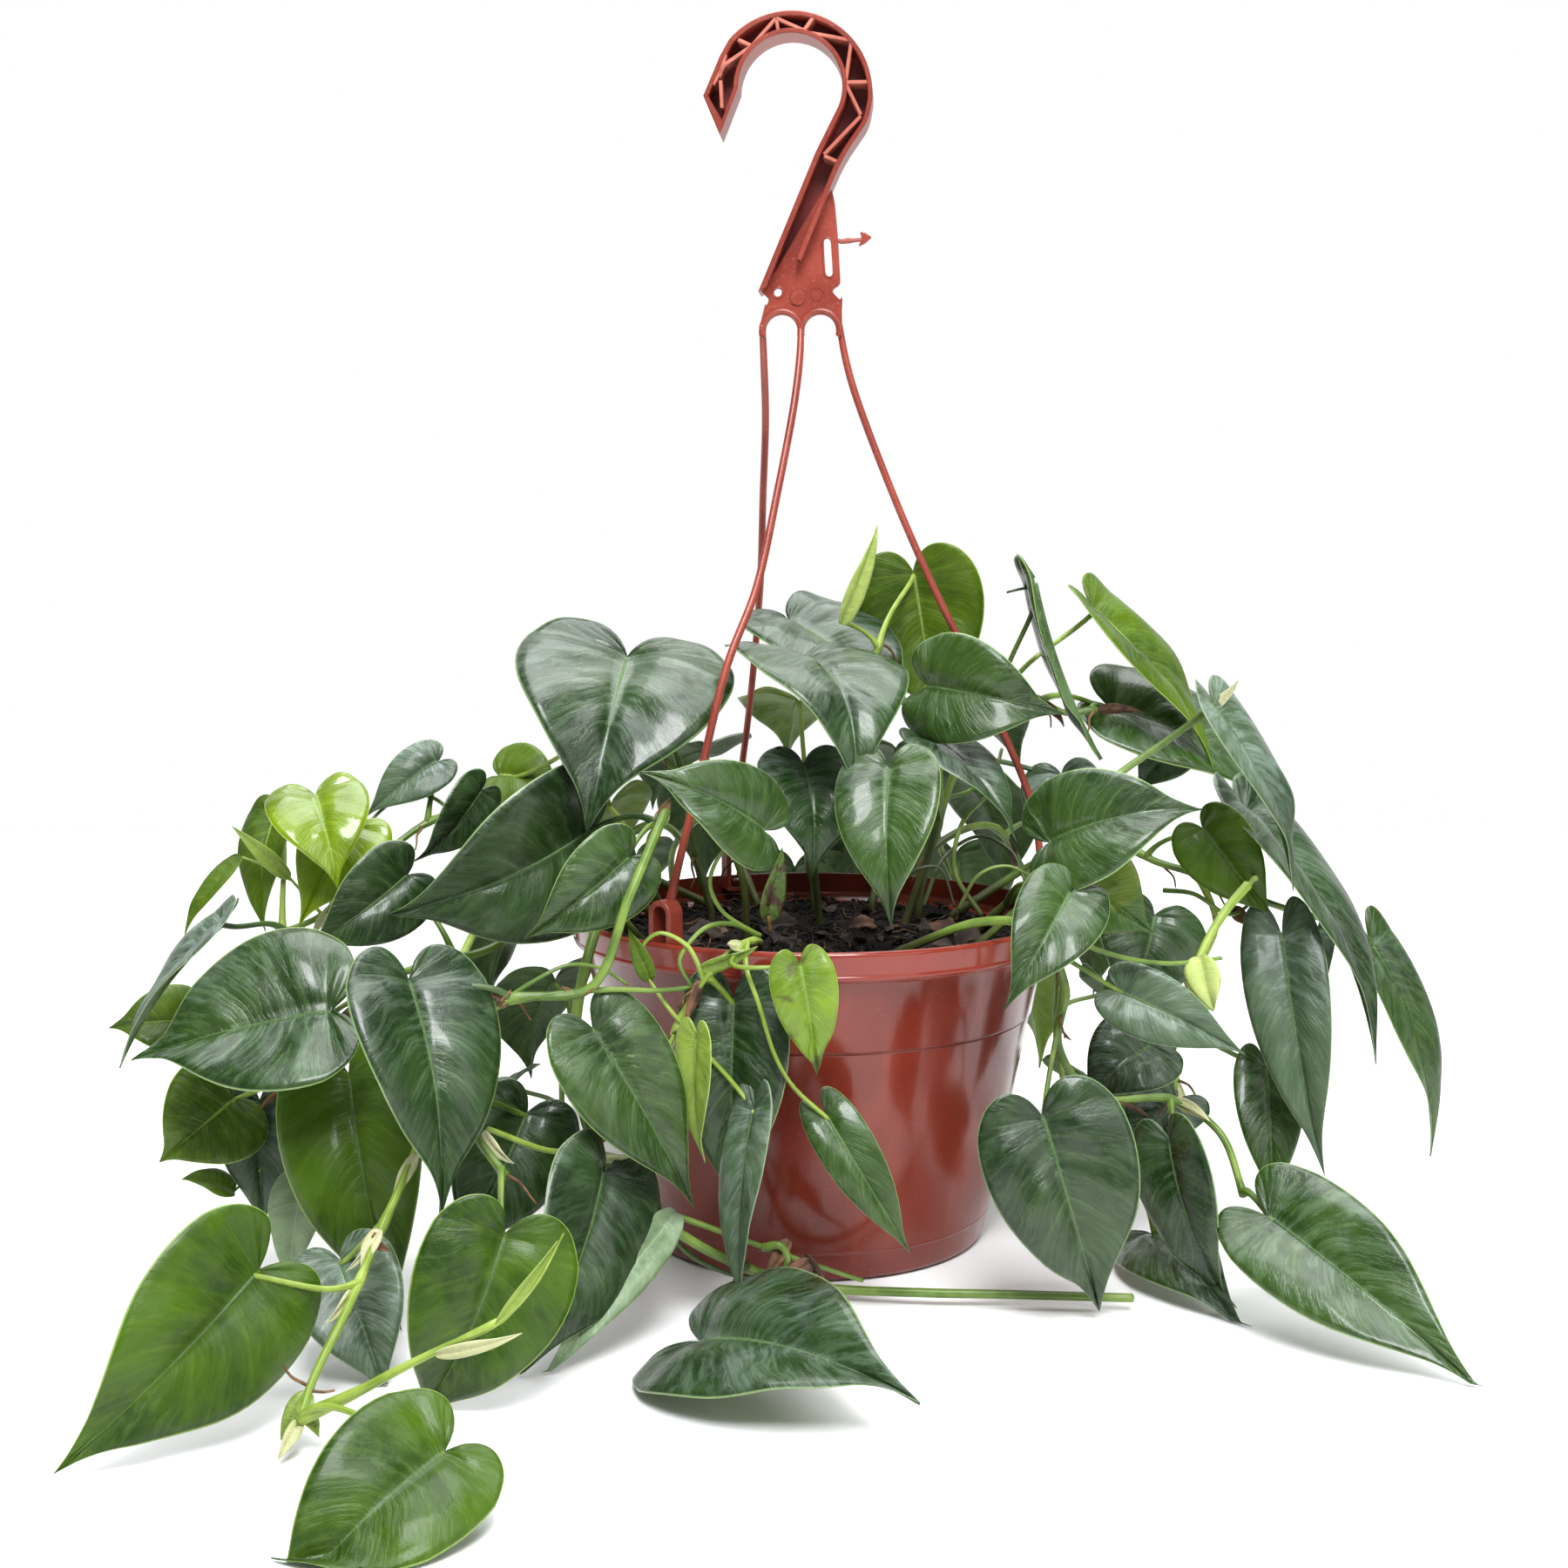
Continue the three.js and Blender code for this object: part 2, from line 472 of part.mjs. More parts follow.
    route: [[690, 990, 40], [600, 1010, 20], [530, 1100, -40], [524, 1200, -92], [472, 1334, -150],
      [434, 1419, -172], [400, 1500, -196], [358, 1587, -214], [345, 1630, -222]],
    leaves: [
      { base: [298, 1458, -200], tip: [62, 1693, -246], wide: 60, from: 0.86, roll: -24, arch: 0.05,
        via: [378, 1480, -196] },
      { base: [511, 1666, -262], tip: [312, 1866, -290], wide: 48, from: 1, roll: 12, arch: 0.2 },
      { base: [390, 1446, -150], tip: [446, 1609, -170], wide: 38, from: 0.8, roll: 0, arch: 0.08 },
      { base: [511, 1541, -226], tip: [640, 1424, -222], wide: 9, from: 1, roll: 30, arch: 0.04,
        via: [430, 1588, -232] },
    ] },
  { name: 'vine_trailing', root: [-70, -36], thick: 5.4,
    route: [[704, 1050, -62], [684, 1068, -86], [660, 1200, -104], [690, 1330, -108], [776, 1413, -112],
      [881, 1464, -92], [943, 1478, -90], [1060, 1484, -95], [1160, 1486, -97], [1300, 1490, -101]],
    leaves: [
      { base: [692, 1345, -128], tip: [597, 1580, -162], wide: 52, from: 0.4, roll: -35, arch: 0.1 },
      { base: [812, 1562, -134], tip: [1056, 1616, -230], wide: 58, from: 0.6, roll: -30, arch: 0.06 },
    ] },
];

// A seen vine in millimetres. A blade faces the camera where its roll is 0.
function seenVine({ name, root, thick, route, leaves }) {
  const eye = new THREE.Vector3(CAMERA.x, CAMERA.y, CAMERA.z);
  return {
    name,
    root,
    thick,
    points: route.map(photoPoint),
    leaves: leaves.map((leaf) => {
      const base = photoPoint(leaf.base);
      const via = leaf.via && photoPoint(leaf.via);
      return { ...leaf, base, tip: photoPoint(leaf.tip), via, facing: eye.clone().sub(base) };
    }),
  };
}

// The vines behind the pot follow one rule, with its draws seeded: they stand in a fan, rise over the
// rim and hang down, with their leaves on both sides in turn. The first ones stand up over the crown.
const HIDDEN = { count: 5, from: 126, to: 232, leaves: 5, rootRadius: 56, reach: 160, seed: 11 };

function seeded(seed) {
  let state = seed;
  return () => {
    state = (state * 1664525 + 1013904223) % 4294967296;
    return state / 4294967296;
  };
}

function hiddenVine(order, draw) {
  const turn = THREE.MathUtils.lerp(HIDDEN.from, HIDDEN.to, order / (HIDDEN.count - 1));
  const azimuth = THREE.MathUtils.degToRad(turn);
  const outward = new THREE.Vector3(Math.sin(azimuth), -Math.cos(azimuth), 0);
  const sideways = new THREE.Vector3(Math.cos(azimuth), Math.sin(azimuth), 0);
  const even = order % 2 === 0;
  const reach = HIDDEN.reach * (even ? 0.92 : 1.1) + 6 * draw();
  const place = (radius, height, sway) => new THREE.Vector3(0, 0, height)
    .addScaledVector(outward, radius)
    .addScaledVector(sideways, sway);
  const points = [
    place(0.44 * reach, 153, 3),
    place(0.62 * reach, 163, -3),
    place(0.8 * reach, 142, 4),
    place(0.9 * reach, 100, -4),
    place(0.96 * reach, 58, 4),
    place(reach, 22, 0),
  ];
  const root = [HIDDEN.rootRadius * outward.x, HIDDEN.rootRadius * outward.y];
  const curve = stemCurve({ root, points });
  const leaves = [];
  for (let i = 0; i < HIDDEN.leaves; i += 1) {
    const from = 0.12 + (0.88 * i) / (HIDDEN.leaves - 1);
    const hand = i % 2 === 0 ? 1 : -1;
    const raised = i === 0;
    const base = curve.getPointAt(from)
      .addScaledVector(outward, raised ? (even ? 12 : 22) : 18 + 6 * draw())
      .addScaledVector(sideways, hand * (raised ? 4 : 10 + 4 * draw()));
    base.z += raised ? (even ? 64 : 44) : 14;
    const long = 58 + 16 * draw();
    const tip = base.clone()
      .addScaledVector(outward, (raised ? 0.8 : 0.4) * long)
      .addScaledVector(sideways, hand * 0.1 * long);
    tip.z = Math.max(tip.z - (raised ? 0.5 : 0.9) * long, 2);
    const facing = outward.clone().addScaledVector(sideways, 0.2 * hand);
    facing.z = raised ? 1.6 : 0.7;
    leaves.push({ base, tip, facing, wide: 50 + 10 * draw(), roll: 0, arch: 0.12, from });
  }
  return { name: `vine_back_${order + 1}`, root, thick: 4.4, points, leaves };
}

function stemCurve({ root, points }) {
  const start = new THREE.Vector3(root[0], root[1], SOIL_TOP + 4);
  return new THREE.CatmullRomCurve3([start, ...points], false, 'centripetal');
}

const draw = seeded(HIDDEN.seed);
const ALL_VINES = [
  ...SEEN_VINES.map(seenVine),
  ...Array.from({ length: HIDDEN.count }, (_, order) => hiddenVine(order, draw)),
];

// A blade's frame: its midrib runs along the axis from base to tip and rises towards the normal
function bladeFrame({ base, tip, facing, wide, roll, arch }) {
  const axis = tip.clone().sub(base);
  const length = axis.length();
  axis.normalize();
  const normal = facing.clone().addScaledVector(axis, -facing.dot(axis)).normalize();
  normal.applyAxisAngle(axis, THREE.MathUtils.degToRad(roll));
  const side = new THREE.Vector3().crossVectors(axis, normal);
  return { base, axis, normal, side, length, half: wide / 2, arch };
}

// A place on a blade: "along" is 0 at the base and 1 at the tip, and "across" is -1 to 1.
// A blade that reaches the ground lies along it.
function bladePoint(frame, along, across, lift) {
  const { base, axis, normal, side, length, half, arch } = frame;
  const rise = along > 0 ? 4 * arch * length * along * (1 - along) : 2 * arch * length * along;
  const slope = along > 0 ? 4 * arch * (1 - 2 * along) : 2 * arch;
  const upright = normal.clone().addScaledVector(axis, -slope).normalize();
  const reach = Math.abs(across);
  const cup = half * (BLADE_CUP * reach - BLADE_DROOP * reach * reach);
  const place = base.clone()
    .addScaledVector(axis, along * length)
    .addScaledVector(normal, rise)
    .addScaledVector(side, across * half)
    .addScaledVector(upright, cup + lift);
  place.z = Math.max(place.z, REST_HEIGHT + lift);
  return place;
}

// Half of the heart's outline as [along, across], and the points of its midrib
const HEART = [[-0.15, 0.45], [0.08, 1.02], [0.46, 0.88], [0.76, 0.33]];
const MIDRIB = [[0, 0], [0.3, 0], [0.65, 0], [1, 0]];
const HALF_BLADE = [[0, 4, 5], [0, 5, 1], [1, 5, 6], [1, 6, 2], [2, 6, 7], [2, 7, 3]];
const HALF_RIM = [0, 4, 5, 6, 7, 3];

function blade(frame) {
  const flat = [...MIDRIB, ...HEART, ...HEART.map(([along, across]) => [along, -across])];
  const count = flat.length;
  const places = [];
  for (const lift of [BLADE_THICKNESS / 2, -BLADE_THICKNESS / 2]) {
    for (const [along, across] of flat) places.push(...bladePoint(frame, along, across, lift).toArray());
  }
  const other = (i) => (i < MIDRIB.length ? i : i + HEART.length);
  const index = [];
  for (const [a, b, c] of HALF_BLADE) {
    index.push(a, b, c, a + count, c + count, b + count);
    const [p, q, r] = [other(a), other(c), other(b)];
    index.push(p, q, r, p + count, r + count, q + count);
  }
  for (let i = 1; i < HALF_RIM.length; i += 1) {
    const [a, b] = [HALF_RIM[i - 1], HALF_RIM[i]];
    index.push(a, a + count, b, b, a + count, b + count);
    const [p, q] = [other(b), other(a)];
    index.push(p, p + count, q, q, p + count, q + count);
  }
  const geometry = new THREE.BufferGeometry();
  geometry.setAttribute('position', new THREE.Float32BufferAttribute(places, 3));
  geometry.setIndex(index);
  return solid(geometry);
}

// A petiole leaves its stem with a rise, unless the blade hangs far below, and meets the blade from behind
function petiole(frame, start, via) {
  const end = bladePoint(frame, 0, 0, 0).lerp(bladePoint(frame, MIDRIB[1][0], 0, 0), 0.2);
  const reach = end.distanceTo(start);
  const ahead = end.clone().sub(start);
  const leave = start.clone().addScaledVector(ahead, 0.25);
  leave.z += ahead.z > -0.4 * reach ? 0.22 * reach : 0.05 * reach;
  const arrive = end.clone().addScaledVector(ahead, -0.25).addScaledVector(frame.normal, -0.16 * reach);
  const curve = via
    ? new THREE.CatmullRomCurve3([start, via, end], false, 'centripetal')
    : new THREE.CubicBezierCurve3(start, leave, arrive, end);
  return solid(tube(curve, 3, PETIOLE_RADIUS, reach > 40 ? 4 : 3));
}

// Where joined pieces enclose a small hollow it is filled, and loose scraps are dropped
function whole(body) {
  return joined(body.decompose().filter((piece) => piece.volume() > 1));
}

function makeVine(vine) {
  const [x, y] = vine.root;
  const curve = stemCurve(vine);
  const steps = Math.round(curve.getLength() / STEM_STEP);
  const foot = new THREE.CylinderGeometry(vine.thick / 2, vine.thick / 2, ROOT_DEPTH + 6, STEM_SIDES);
  foot.rotateX(Math.PI / 2);
  foot.translate(x, y, SOIL_TOP - ROOT_DEPTH / 2 + 3);
  const pieces = [solid(tube(curve, STEM_SIDES, vine.thick / 2, steps)), solid(foot)];
  vine.leaves.forEach((leaf, order) => {
    const frame = bladeFrame(leaf);
    const step = Math.max(1, Math.round(leaf.from * steps));
    const before = curve.getPointAt((step - 1) / steps);
    const start = curve.getPointAt(step / steps).lerp(before, (0.5 + 0.6 * order) / STEM_STEP);
    pieces.push(blade(frame), petiole(frame, start, leaf.via));
  });
  return geometryOf(whole(joined(pieces)));
}

// The parts, each with its colour and finish
const TERRACOTTA = new THREE.MeshStandardMaterial({ color: 0x8f3122, roughness: 0.28, metalness: 0 });
const SALMON = new THREE.MeshStandardMaterial({ color: 0xb04a35, roughness: 0.45, metalness: 0 });
const EARTH = new THREE.MeshStandardMaterial({ color: 0x1d130e, roughness: 1, metalness: 0 });
const LEAF = new THREE.MeshStandardMaterial({ color: 0x24502a, roughness: 0.35, metalness: 0 });

function part(name, geometry, material) {
  const mesh = new THREE.Mesh(geometry, material);
  mesh.name = name;
  return mesh;
}

const plant = new THREE.Group();
plant.add(part('pot', makePot(), TERRACOTTA));
plant.add(part('soil', makeSoil(), EARTH));
plant.add(part('hanger', makeHanger(), SALMON));
for (const vine of ALL_VINES) plant.add(part(vine.name, makeVine(vine), LEAF));

export default plant;
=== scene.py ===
"""A potted heartleaf philodendron with its clip-on hanger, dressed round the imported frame.

Everything is worked out in millimetres and turned into metres when a mesh is made. Sizes and
routes are those of the part's source, unless a comment says otherwise.
"""

import random
from bisect import bisect_right
from math import cos, exp, floor, hypot, pi, radians, sin, sqrt

import bmesh
import bpy
from mathutils import Matrix, Vector, noise
from mathutils.geometry import tessellate_polygon


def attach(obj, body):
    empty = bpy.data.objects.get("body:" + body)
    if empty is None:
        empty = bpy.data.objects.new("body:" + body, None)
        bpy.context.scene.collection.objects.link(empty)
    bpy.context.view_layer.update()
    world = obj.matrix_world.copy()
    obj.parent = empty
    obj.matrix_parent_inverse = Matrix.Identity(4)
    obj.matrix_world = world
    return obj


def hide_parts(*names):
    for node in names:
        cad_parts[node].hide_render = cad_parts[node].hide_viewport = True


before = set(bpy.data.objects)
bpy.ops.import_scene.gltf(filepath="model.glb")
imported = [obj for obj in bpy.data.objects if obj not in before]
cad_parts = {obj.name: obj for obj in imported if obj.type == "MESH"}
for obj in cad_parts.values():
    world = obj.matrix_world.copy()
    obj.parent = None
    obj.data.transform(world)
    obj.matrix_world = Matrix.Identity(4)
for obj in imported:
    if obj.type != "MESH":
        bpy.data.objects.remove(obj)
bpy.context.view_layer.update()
MM = 0.001
WELD = 0.0005

# One step of u or v in millimetres, and how often the texture goes round a turned piece
UV_STEP = 40.0
UV_TURNS = 12

# A tube's closed ends: how far its last ring and its tip stand out and how wide that ring is, by its radius
CAP_STEP, CAP_TIP, CAP_WIDTH = 0.3, 0.45, 0.7

# The pot and the soil
POT_HEIGHT = 135.0
RIM_RADIUS = 100.0
BAND_HEIGHT = 11.5
BAND_PROUD = 2.6
GROOVE_HEIGHT = 95.0
BASE_RADIUS = 70.5
WALL = 2.2
BASE_THICKNESS = 3.0
DRAIN_RADIUS = 4.5
DRAIN_RING = 48.0
DRAIN_COUNT = 6
DRAIN_SIDES = 24
POT_SIDES = 144
POT_CREASE = 50
PLASTIC_EDGE = 0.4
FOOT_HEIGHT = 0.8
FOOT_RADIUS = 66.0
SOIL_TOP = 124.0
SOIL_RELIEF = 1.6
GAP = 0.3

# The hanger
HOOK_DEPTH = 16.0
HOOK_YAW = -4.0
BEND_X, BEND_Z, BEND_OUTER, BEND_INNER, BEND_LIFT = -9.9, 460.2, 32.5, 20.6, 3.4
WEB = 1.6
WEB_BACK = 4.0
FLANGE = 1.9
RIB = 1.4
RIB_INSET = 0.3
PLATE_THICKNESS = 3.0
ARCH_RADIUS = 6.5
ARCH_HEIGHT = 369.8
ARCH_CENTRES = (-13.7, 1.8)
ARCH_BAND = 2.6
STRAND_RADIUS = 1.65
STRAND_RINGS = 3.0
STRAND_SQUASH = 0.85
HOLE_X, HOLE_Z, HOLE_RADIUS = -15.2, 385.0, 1.7
SLOT_X, SLOT_Z, SLOT_RADIUS, SLOT_REACH, SLOT_SLANT = 5.0, 398.5, 1.8, 6.0, 0.06
HANGER_EDGE = 0.3
EYE_WIDTH, EYE_HEIGHT, EYE_WALL, EYE_DEPTH, EYE_TOP, EYE_RADIUS = 11.0, 22.0, 2.3, 7.6, 150.6, 93.4
PEG_WIDTH, PEG_HEIGHT, PEG_LENGTH = 5.6, 3.0, 9.4
EYE_AZIMUTHS = (-38.0, 82.0, -158.0)

# The plant: its leaves come lower here than in the part's source, to 1 mm above the ground
BLADE_CUP = 0.42
BLADE_DROOP = 0.3
STEM_STEP = 24.0
REST_HEIGHT = 1.0
MAIN_VEINS = 6
BLADE_THICKNESS = 0.62
LEAF_RIBS, LEAF_ROWS = 44, 9
STEM_RINGS, PETIOLE_RINGS, TWIG_RINGS = 2.5, 3.0, 1.6
DARK_CHANCE, ROOT_CHANCE, SHEATH_CHANCE = 0.3, 0.55, 0.45

# The camera that saw the real plant: a place on it is (column, row, depth), where column and row
# are pixels of an 1800 pixel square picture and depth is the real y in millimetres
EYE = Vector((-12.8, -820.0, 272.8))
PITCH = radians(6.0)
FOCAL = 2298.0
CENTRE = 900.0


def photo_point(place):
    """The place in millimetres of (column, row, depth)."""
    column, row, depth = place
    down = (row - CENTRE) / FOCAL
    ray = Vector(((column - CENTRE) / FOCAL, cos(PITCH) - down * sin(PITCH), -sin(PITCH) - down * cos(PITCH)))
    return ray * ((depth - EYE.y) / ray.y) + EYE


# Materials


def add_node(tree, kind, inputs=(), **settings):
    """The outputs of a new shader node, with its inputs given by name or number."""
    node = tree.nodes.new("ShaderNode" + kind)
    for key, value in settings.items():
        setattr(node, key, value)
    for key, value in dict(inputs).items():
        if isinstance(value, bpy.types.NodeSocket):
            tree.links.new(value, node.inputs[key])
        else:
            node.inputs[key].default_value = value
    return node.outputs


def smooth(tree, value, low, high, start=0.0, end=1.0):
    """Smoothly from start to end as value goes from low to high."""
    ends = {"Value": value, "From Min": low, "From Max": high, "To Min": start, "To Max": end}
    return add_node(tree, "MapRange", ends, interpolation_type="SMOOTHSTEP")[0]


class Paint:
    """A procedural material under construction. Its methods give the sockets of new nodes."""

    def __init__(self, name, **values):
        self.material = bpy.data.materials.new(name)
        self.material.use_nodes = True
        self.tree = self.material.node_tree
        self.shader = self.tree.nodes["Principled BSDF"]
        for key, value in values.items():
            self.shader.inputs[key.replace("_", " ").title().replace("Ior", "IOR")].default_value = value
        places = self.node("TexCoord")
        self.place, self.uv = places["Object"], places["UV"]

    def node(self, kind, inputs=(), **settings):
        return add_node(self.tree, kind, inputs, **settings)

    def parts(self, vector):
        return self.node("SeparateXYZ", {0: vector})

    def maths(self, operation, *values):
        return self.node("Math", enumerate(values), operation=operation)[0]

    def times(self, a, b):
        return self.maths("MULTIPLY", a, b)

    def total(self, first, *terms):
        """first and each value times its weight."""
        for value, weight in terms:
            first = self.maths("MULTIPLY_ADD", value, weight, first)
        return first

    def ramp(self, *values):
        return smooth(self.tree, *values)

    def layers(self, base, *rows):
        """A base colour with tints laid over it, each by a share that counts at its strength."""
        colour = rgb(*base)
        for tint, share, strength in rows:
            ends = {0: self.times(share, strength), 6: colour, 7: rgb(*tint)}
            colour = self.node("Mix", ends, data_type="RGBA")[2]
        return colour

    def noise(self, scale, detail, roughness=0.55, distortion=0.0, place=None):
        inputs = {"Vector": self.place if place is None else place, "Scale": scale, "Detail": detail}
        return self.node("TexNoise", {**inputs, "Roughness": roughness, "Distortion": distortion})[0]

    def drawn_out(self, share):
        """The place with its height shrunk, for noise that runs up the piece."""
        return self.node("Mapping", {"Vector": self.place, "Scale": (1.0, 1.0, share)})[0]

    def near_axis(self, near, far, low, high, most_low, most_high):
        """1 within near of the axis and 0 beyond far, and changing in height between low and high."""
        x, y, height = self.parts(self.place)
        squares = self.total(self.times(x, x), (y, y))
        close = self.ramp(self.maths("SQRT", squares), near, far, 1.0, 0.0)
        return self.times(close, self.ramp(height, low, high, most_low, most_high))

    def done(self, colour, rough, relief, strength, depth):
        bump = self.node("Bump", {"Strength": strength, "Distance": depth, "Height": relief})[0]
        for key, value in (("Base Color", colour), ("Roughness", rough), ("Normal", bump)):
            self.tree.links.new(value, self.shader.inputs[key])
        return self.material


def rgb(red, green, blue):
    """A colour given in display values from 0 to 255."""
    return tuple((channel / 255) ** 2.2 for channel in (red, green, blue)) + (1.0,)


def leaf_material(
    name, deep, light, vein, margin, rough=0.26, coat=0.32, speckle=0.12, painted_sheen_share=0.13, level=0.38, blotch=None,
):
    """A blade: mottled green, with a paler midrib, faint veins, a painted sheen on its upward-facing parts
    and a thin pale margin.
    """
    paint = Paint(name, coat_weight=coat, coat_roughness=0.14, specular_ior_level=level)
    across, along, _ = paint.parts(paint.uv)
    rim = paint.times(paint.maths("ABSOLUTE", paint.total(-0.5, (across, 1.0))), 2.0)
    broad = paint.noise(24, 3)
    patch = paint.noise(62, 4, 0.62, 0.8)
    middle = paint.noise(210, 5, 0.65)
    fine = paint.noise(1500, 3, 0.7)
    # Uneven streaks that run out from the midrib with the veins
    drawn = paint.total(paint.times(along, 46.0), (broad, 7.0))
    drift = (drawn, paint.times(rim, 1.5), paint.times(broad, 5.0))
    drift = paint.node("CombineXYZ", enumerate(drift))[0]
    streaks = paint.ramp(paint.noise(1.0, 4, 0.62, place=drift), 0.42, 0.66)
    ribs = paint.maths("ABSOLUTE", paint.maths("SINE", paint.times(along, pi * MAIN_VEINS)))
    veins = paint.times(paint.ramp(ribs, 0.0, 0.2, 1.0, 0.0), paint.ramp(rim, 0.5, 0.95, 1.0, 0.0))
    veins = paint.times(veins, paint.ramp(patch, 0.35, 0.65, 0.3, 1.0))
    upward = paint.parts(paint.node("NewGeometry")["Normal"])[2]
    # Painted sheen: a pale bluish-white laid in patches and streaks on the parts that face upwards
    painted_sheen_mask = paint.total(paint.ramp(patch, 0.44, 0.66, 0.0, 0.5), (streaks, 0.6))
    painted_sheen_mask = paint.times(painted_sheen_mask, paint.ramp(upward, 0.1, 0.9))
    rows = [
        (light, paint.ramp(broad, 0.36, 0.66), 1.0),
        (light, paint.ramp(middle, 0.42, 0.7), 0.4),
        (vein, streaks, 0.12),
        (vein, veins, 0.18),
        (vein, paint.ramp(rim, 0.006, 0.035, 1.0, 0.0), 0.45),
        ((196, 205, 196), paint.ramp(fine, 0.62, 0.8), speckle),
        ((180, 200, 194), painted_sheen_mask, painted_sheen_share),
    ]
    if blotch:
        spread, shade, strength = blotch
        rows.append((shade, paint.ramp(paint.noise(spread, 4, 0.6, 0.4), 0.5, 0.58), strength))
    colour = paint.layers(deep, *rows, (margin, paint.ramp(rim, 0.975, 0.992), 0.6))
    gloss = paint.total(rough - 0.14, (middle, 0.16), (paint.ramp(patch, 0.35, 0.7), 0.14), (fine, 0.12))
    relief = paint.total(middle, (streaks, 0.55), (veins, -0.35), (fine, 0.35))
    return paint.done(colour, gloss, relief, 0.6, 0.0004)


def stem_material(name, deep, light, scar):
    """A stem or petiole: green with long pale streaks and small scars, and brown near the soil."""
    paint = Paint(name, coat_weight=0.12, coat_roughness=0.35)
    around = paint.parts(paint.uv)[0]
    broad = paint.noise(45, 3)
    fine = paint.noise(700, 3, 0.6)
    streaks = paint.maths("SINE", paint.total(paint.times(around, 44.0), (broad, 9.0)))
    colour = paint.layers(
        deep,
        (light, paint.ramp(broad, 0.38, 0.64), 1.0),
        (light, paint.ramp(streaks, 0.1, 1.0), 0.3),
        (scar, paint.ramp(fine, 0.6, 0.72), 0.45),
        ((62, 54, 34), paint.near_axis(0.078, 0.088, 0.13, 0.19, 0.75, 0.0), 1.0),
    )
    return paint.done(colour, paint.total(0.32, (fine, 0.2)), paint.total(fine, (streaks, 0.3)), 0.45, 0.0003)


def dry_material(name, deep, light):
    """Dead leaf, sheath or root: fibrous brown."""
    paint = Paint(name)
    fibre = paint.noise(500, 4, 0.7, 0.5, paint.drawn_out(0.25))
    colour = paint.layers(
        deep,
        (light, paint.ramp(paint.noise(120, 4, 0.6), 0.36, 0.66), 1.0),
        (deep, paint.ramp(fibre, 0.45, 0.7), 0.5),
    )
    return paint.done(colour, paint.total(0.6, (fibre, 0.25)), fibre, 0.8, 0.0006)


def pot_material():
    """Glossy moulded plastic with fine scuffs, dust and faint flow marks, and painted shade inside the rim.
    """
    paint = Paint("pot_gloss", coat_weight=0.24, coat_roughness=0.1, specular_ior_level=0.4)
    grain = paint.noise(260, 4, 0.6)
    flow = paint.noise(70, 3, 0.5, 0.6, paint.drawn_out(0.08))
    scuffs = paint.node("TexVoronoi", {"Vector": paint.place, "Scale": 240})["Distance"]
    colour = paint.layers(
        (102, 38, 28),
        ((122, 49, 37), paint.ramp(paint.noise(14, 3), 0.35, 0.68), 1.0),
        ((156, 76, 60), paint.ramp(flow, 0.5, 0.75), 0.3),
        ((130, 52, 40), paint.ramp(paint.parts(paint.place)[2], 0.118, 0.126), 1.0),
        ((214, 170, 156), paint.ramp(paint.noise(1300, 2, 0.6), 0.68, 0.8), 0.35),
        ((80, 30, 24), paint.ramp(scuffs, 0.0, 0.05, 1.0, 0.0), 0.12),
        # Painted shade: darker on the inner wall of the rim above the soil
        ((62, 28, 22), paint.near_axis(0.0983, 0.0991, 0.1232, 0.1242, 0.0, 0.75), 1.0),
    )
    rough = paint.total(0.1, (grain, 0.16), (paint.ramp(flow, 0.55, 0.8), 0.08))
    return paint.done(colour, rough, paint.total(paint.times(grain, 0.5), (flow, 1.6)), 0.2, 0.0006)


def hanger_material(name, deep, light, worn):
    """Satin moulded plastic with a paler grain."""
    paint = Paint(name, coat_weight=0.15, coat_roughness=0.3)
    grain = paint.noise(800, 3, 0.6)
    colour = paint.layers(
        deep,
        (light, paint.ramp(paint.noise(30, 3), 0.36, 0.66), 1.0),
        (worn, paint.ramp(grain, 0.55, 0.75), 0.25),
    )
    return paint.done(colour, paint.total(0.26, (grain, 0.2)), grain, 0.3, 0.0003)


def soil_material():
    """Dark potting mix: nearly black crumbs, brown fibres and a few pale specks."""
    paint = Paint("potting_mix", specular_ior_level=0.3)
    broad = paint.noise(60, 4, 0.65)
    crumb = paint.noise(420, 5, 0.75)
    colour = paint.layers(
        (18, 14, 12),
        ((42, 33, 28), paint.ramp(broad, 0.35, 0.68), 1.0),
        ((78, 58, 47), paint.ramp(crumb, 0.52, 0.72), 0.6),
        ((160, 146, 132), paint.ramp(paint.noise(900, 2, 0.5), 0.72, 0.8), 0.6),
    )
    return paint.done(colour, paint.total(0.65, (crumb, 0.3)), paint.total(crumb, (broad, 0.8)), 1.0, 0.0022)


def floor_material():
    """A plain pale studio floor."""
    paint = Paint("studio_floor")
    grain = paint.noise(320, 3)
    patches = paint.ramp(paint.noise(2.5, 2), 0.35, 0.65)
    colour = paint.layers((247, 247, 247), ((250, 250, 250), patches, 1.0))
    return paint.done(colour, paint.total(0.72, (grain, 0.1)), grain, 0.04, 0.0003)
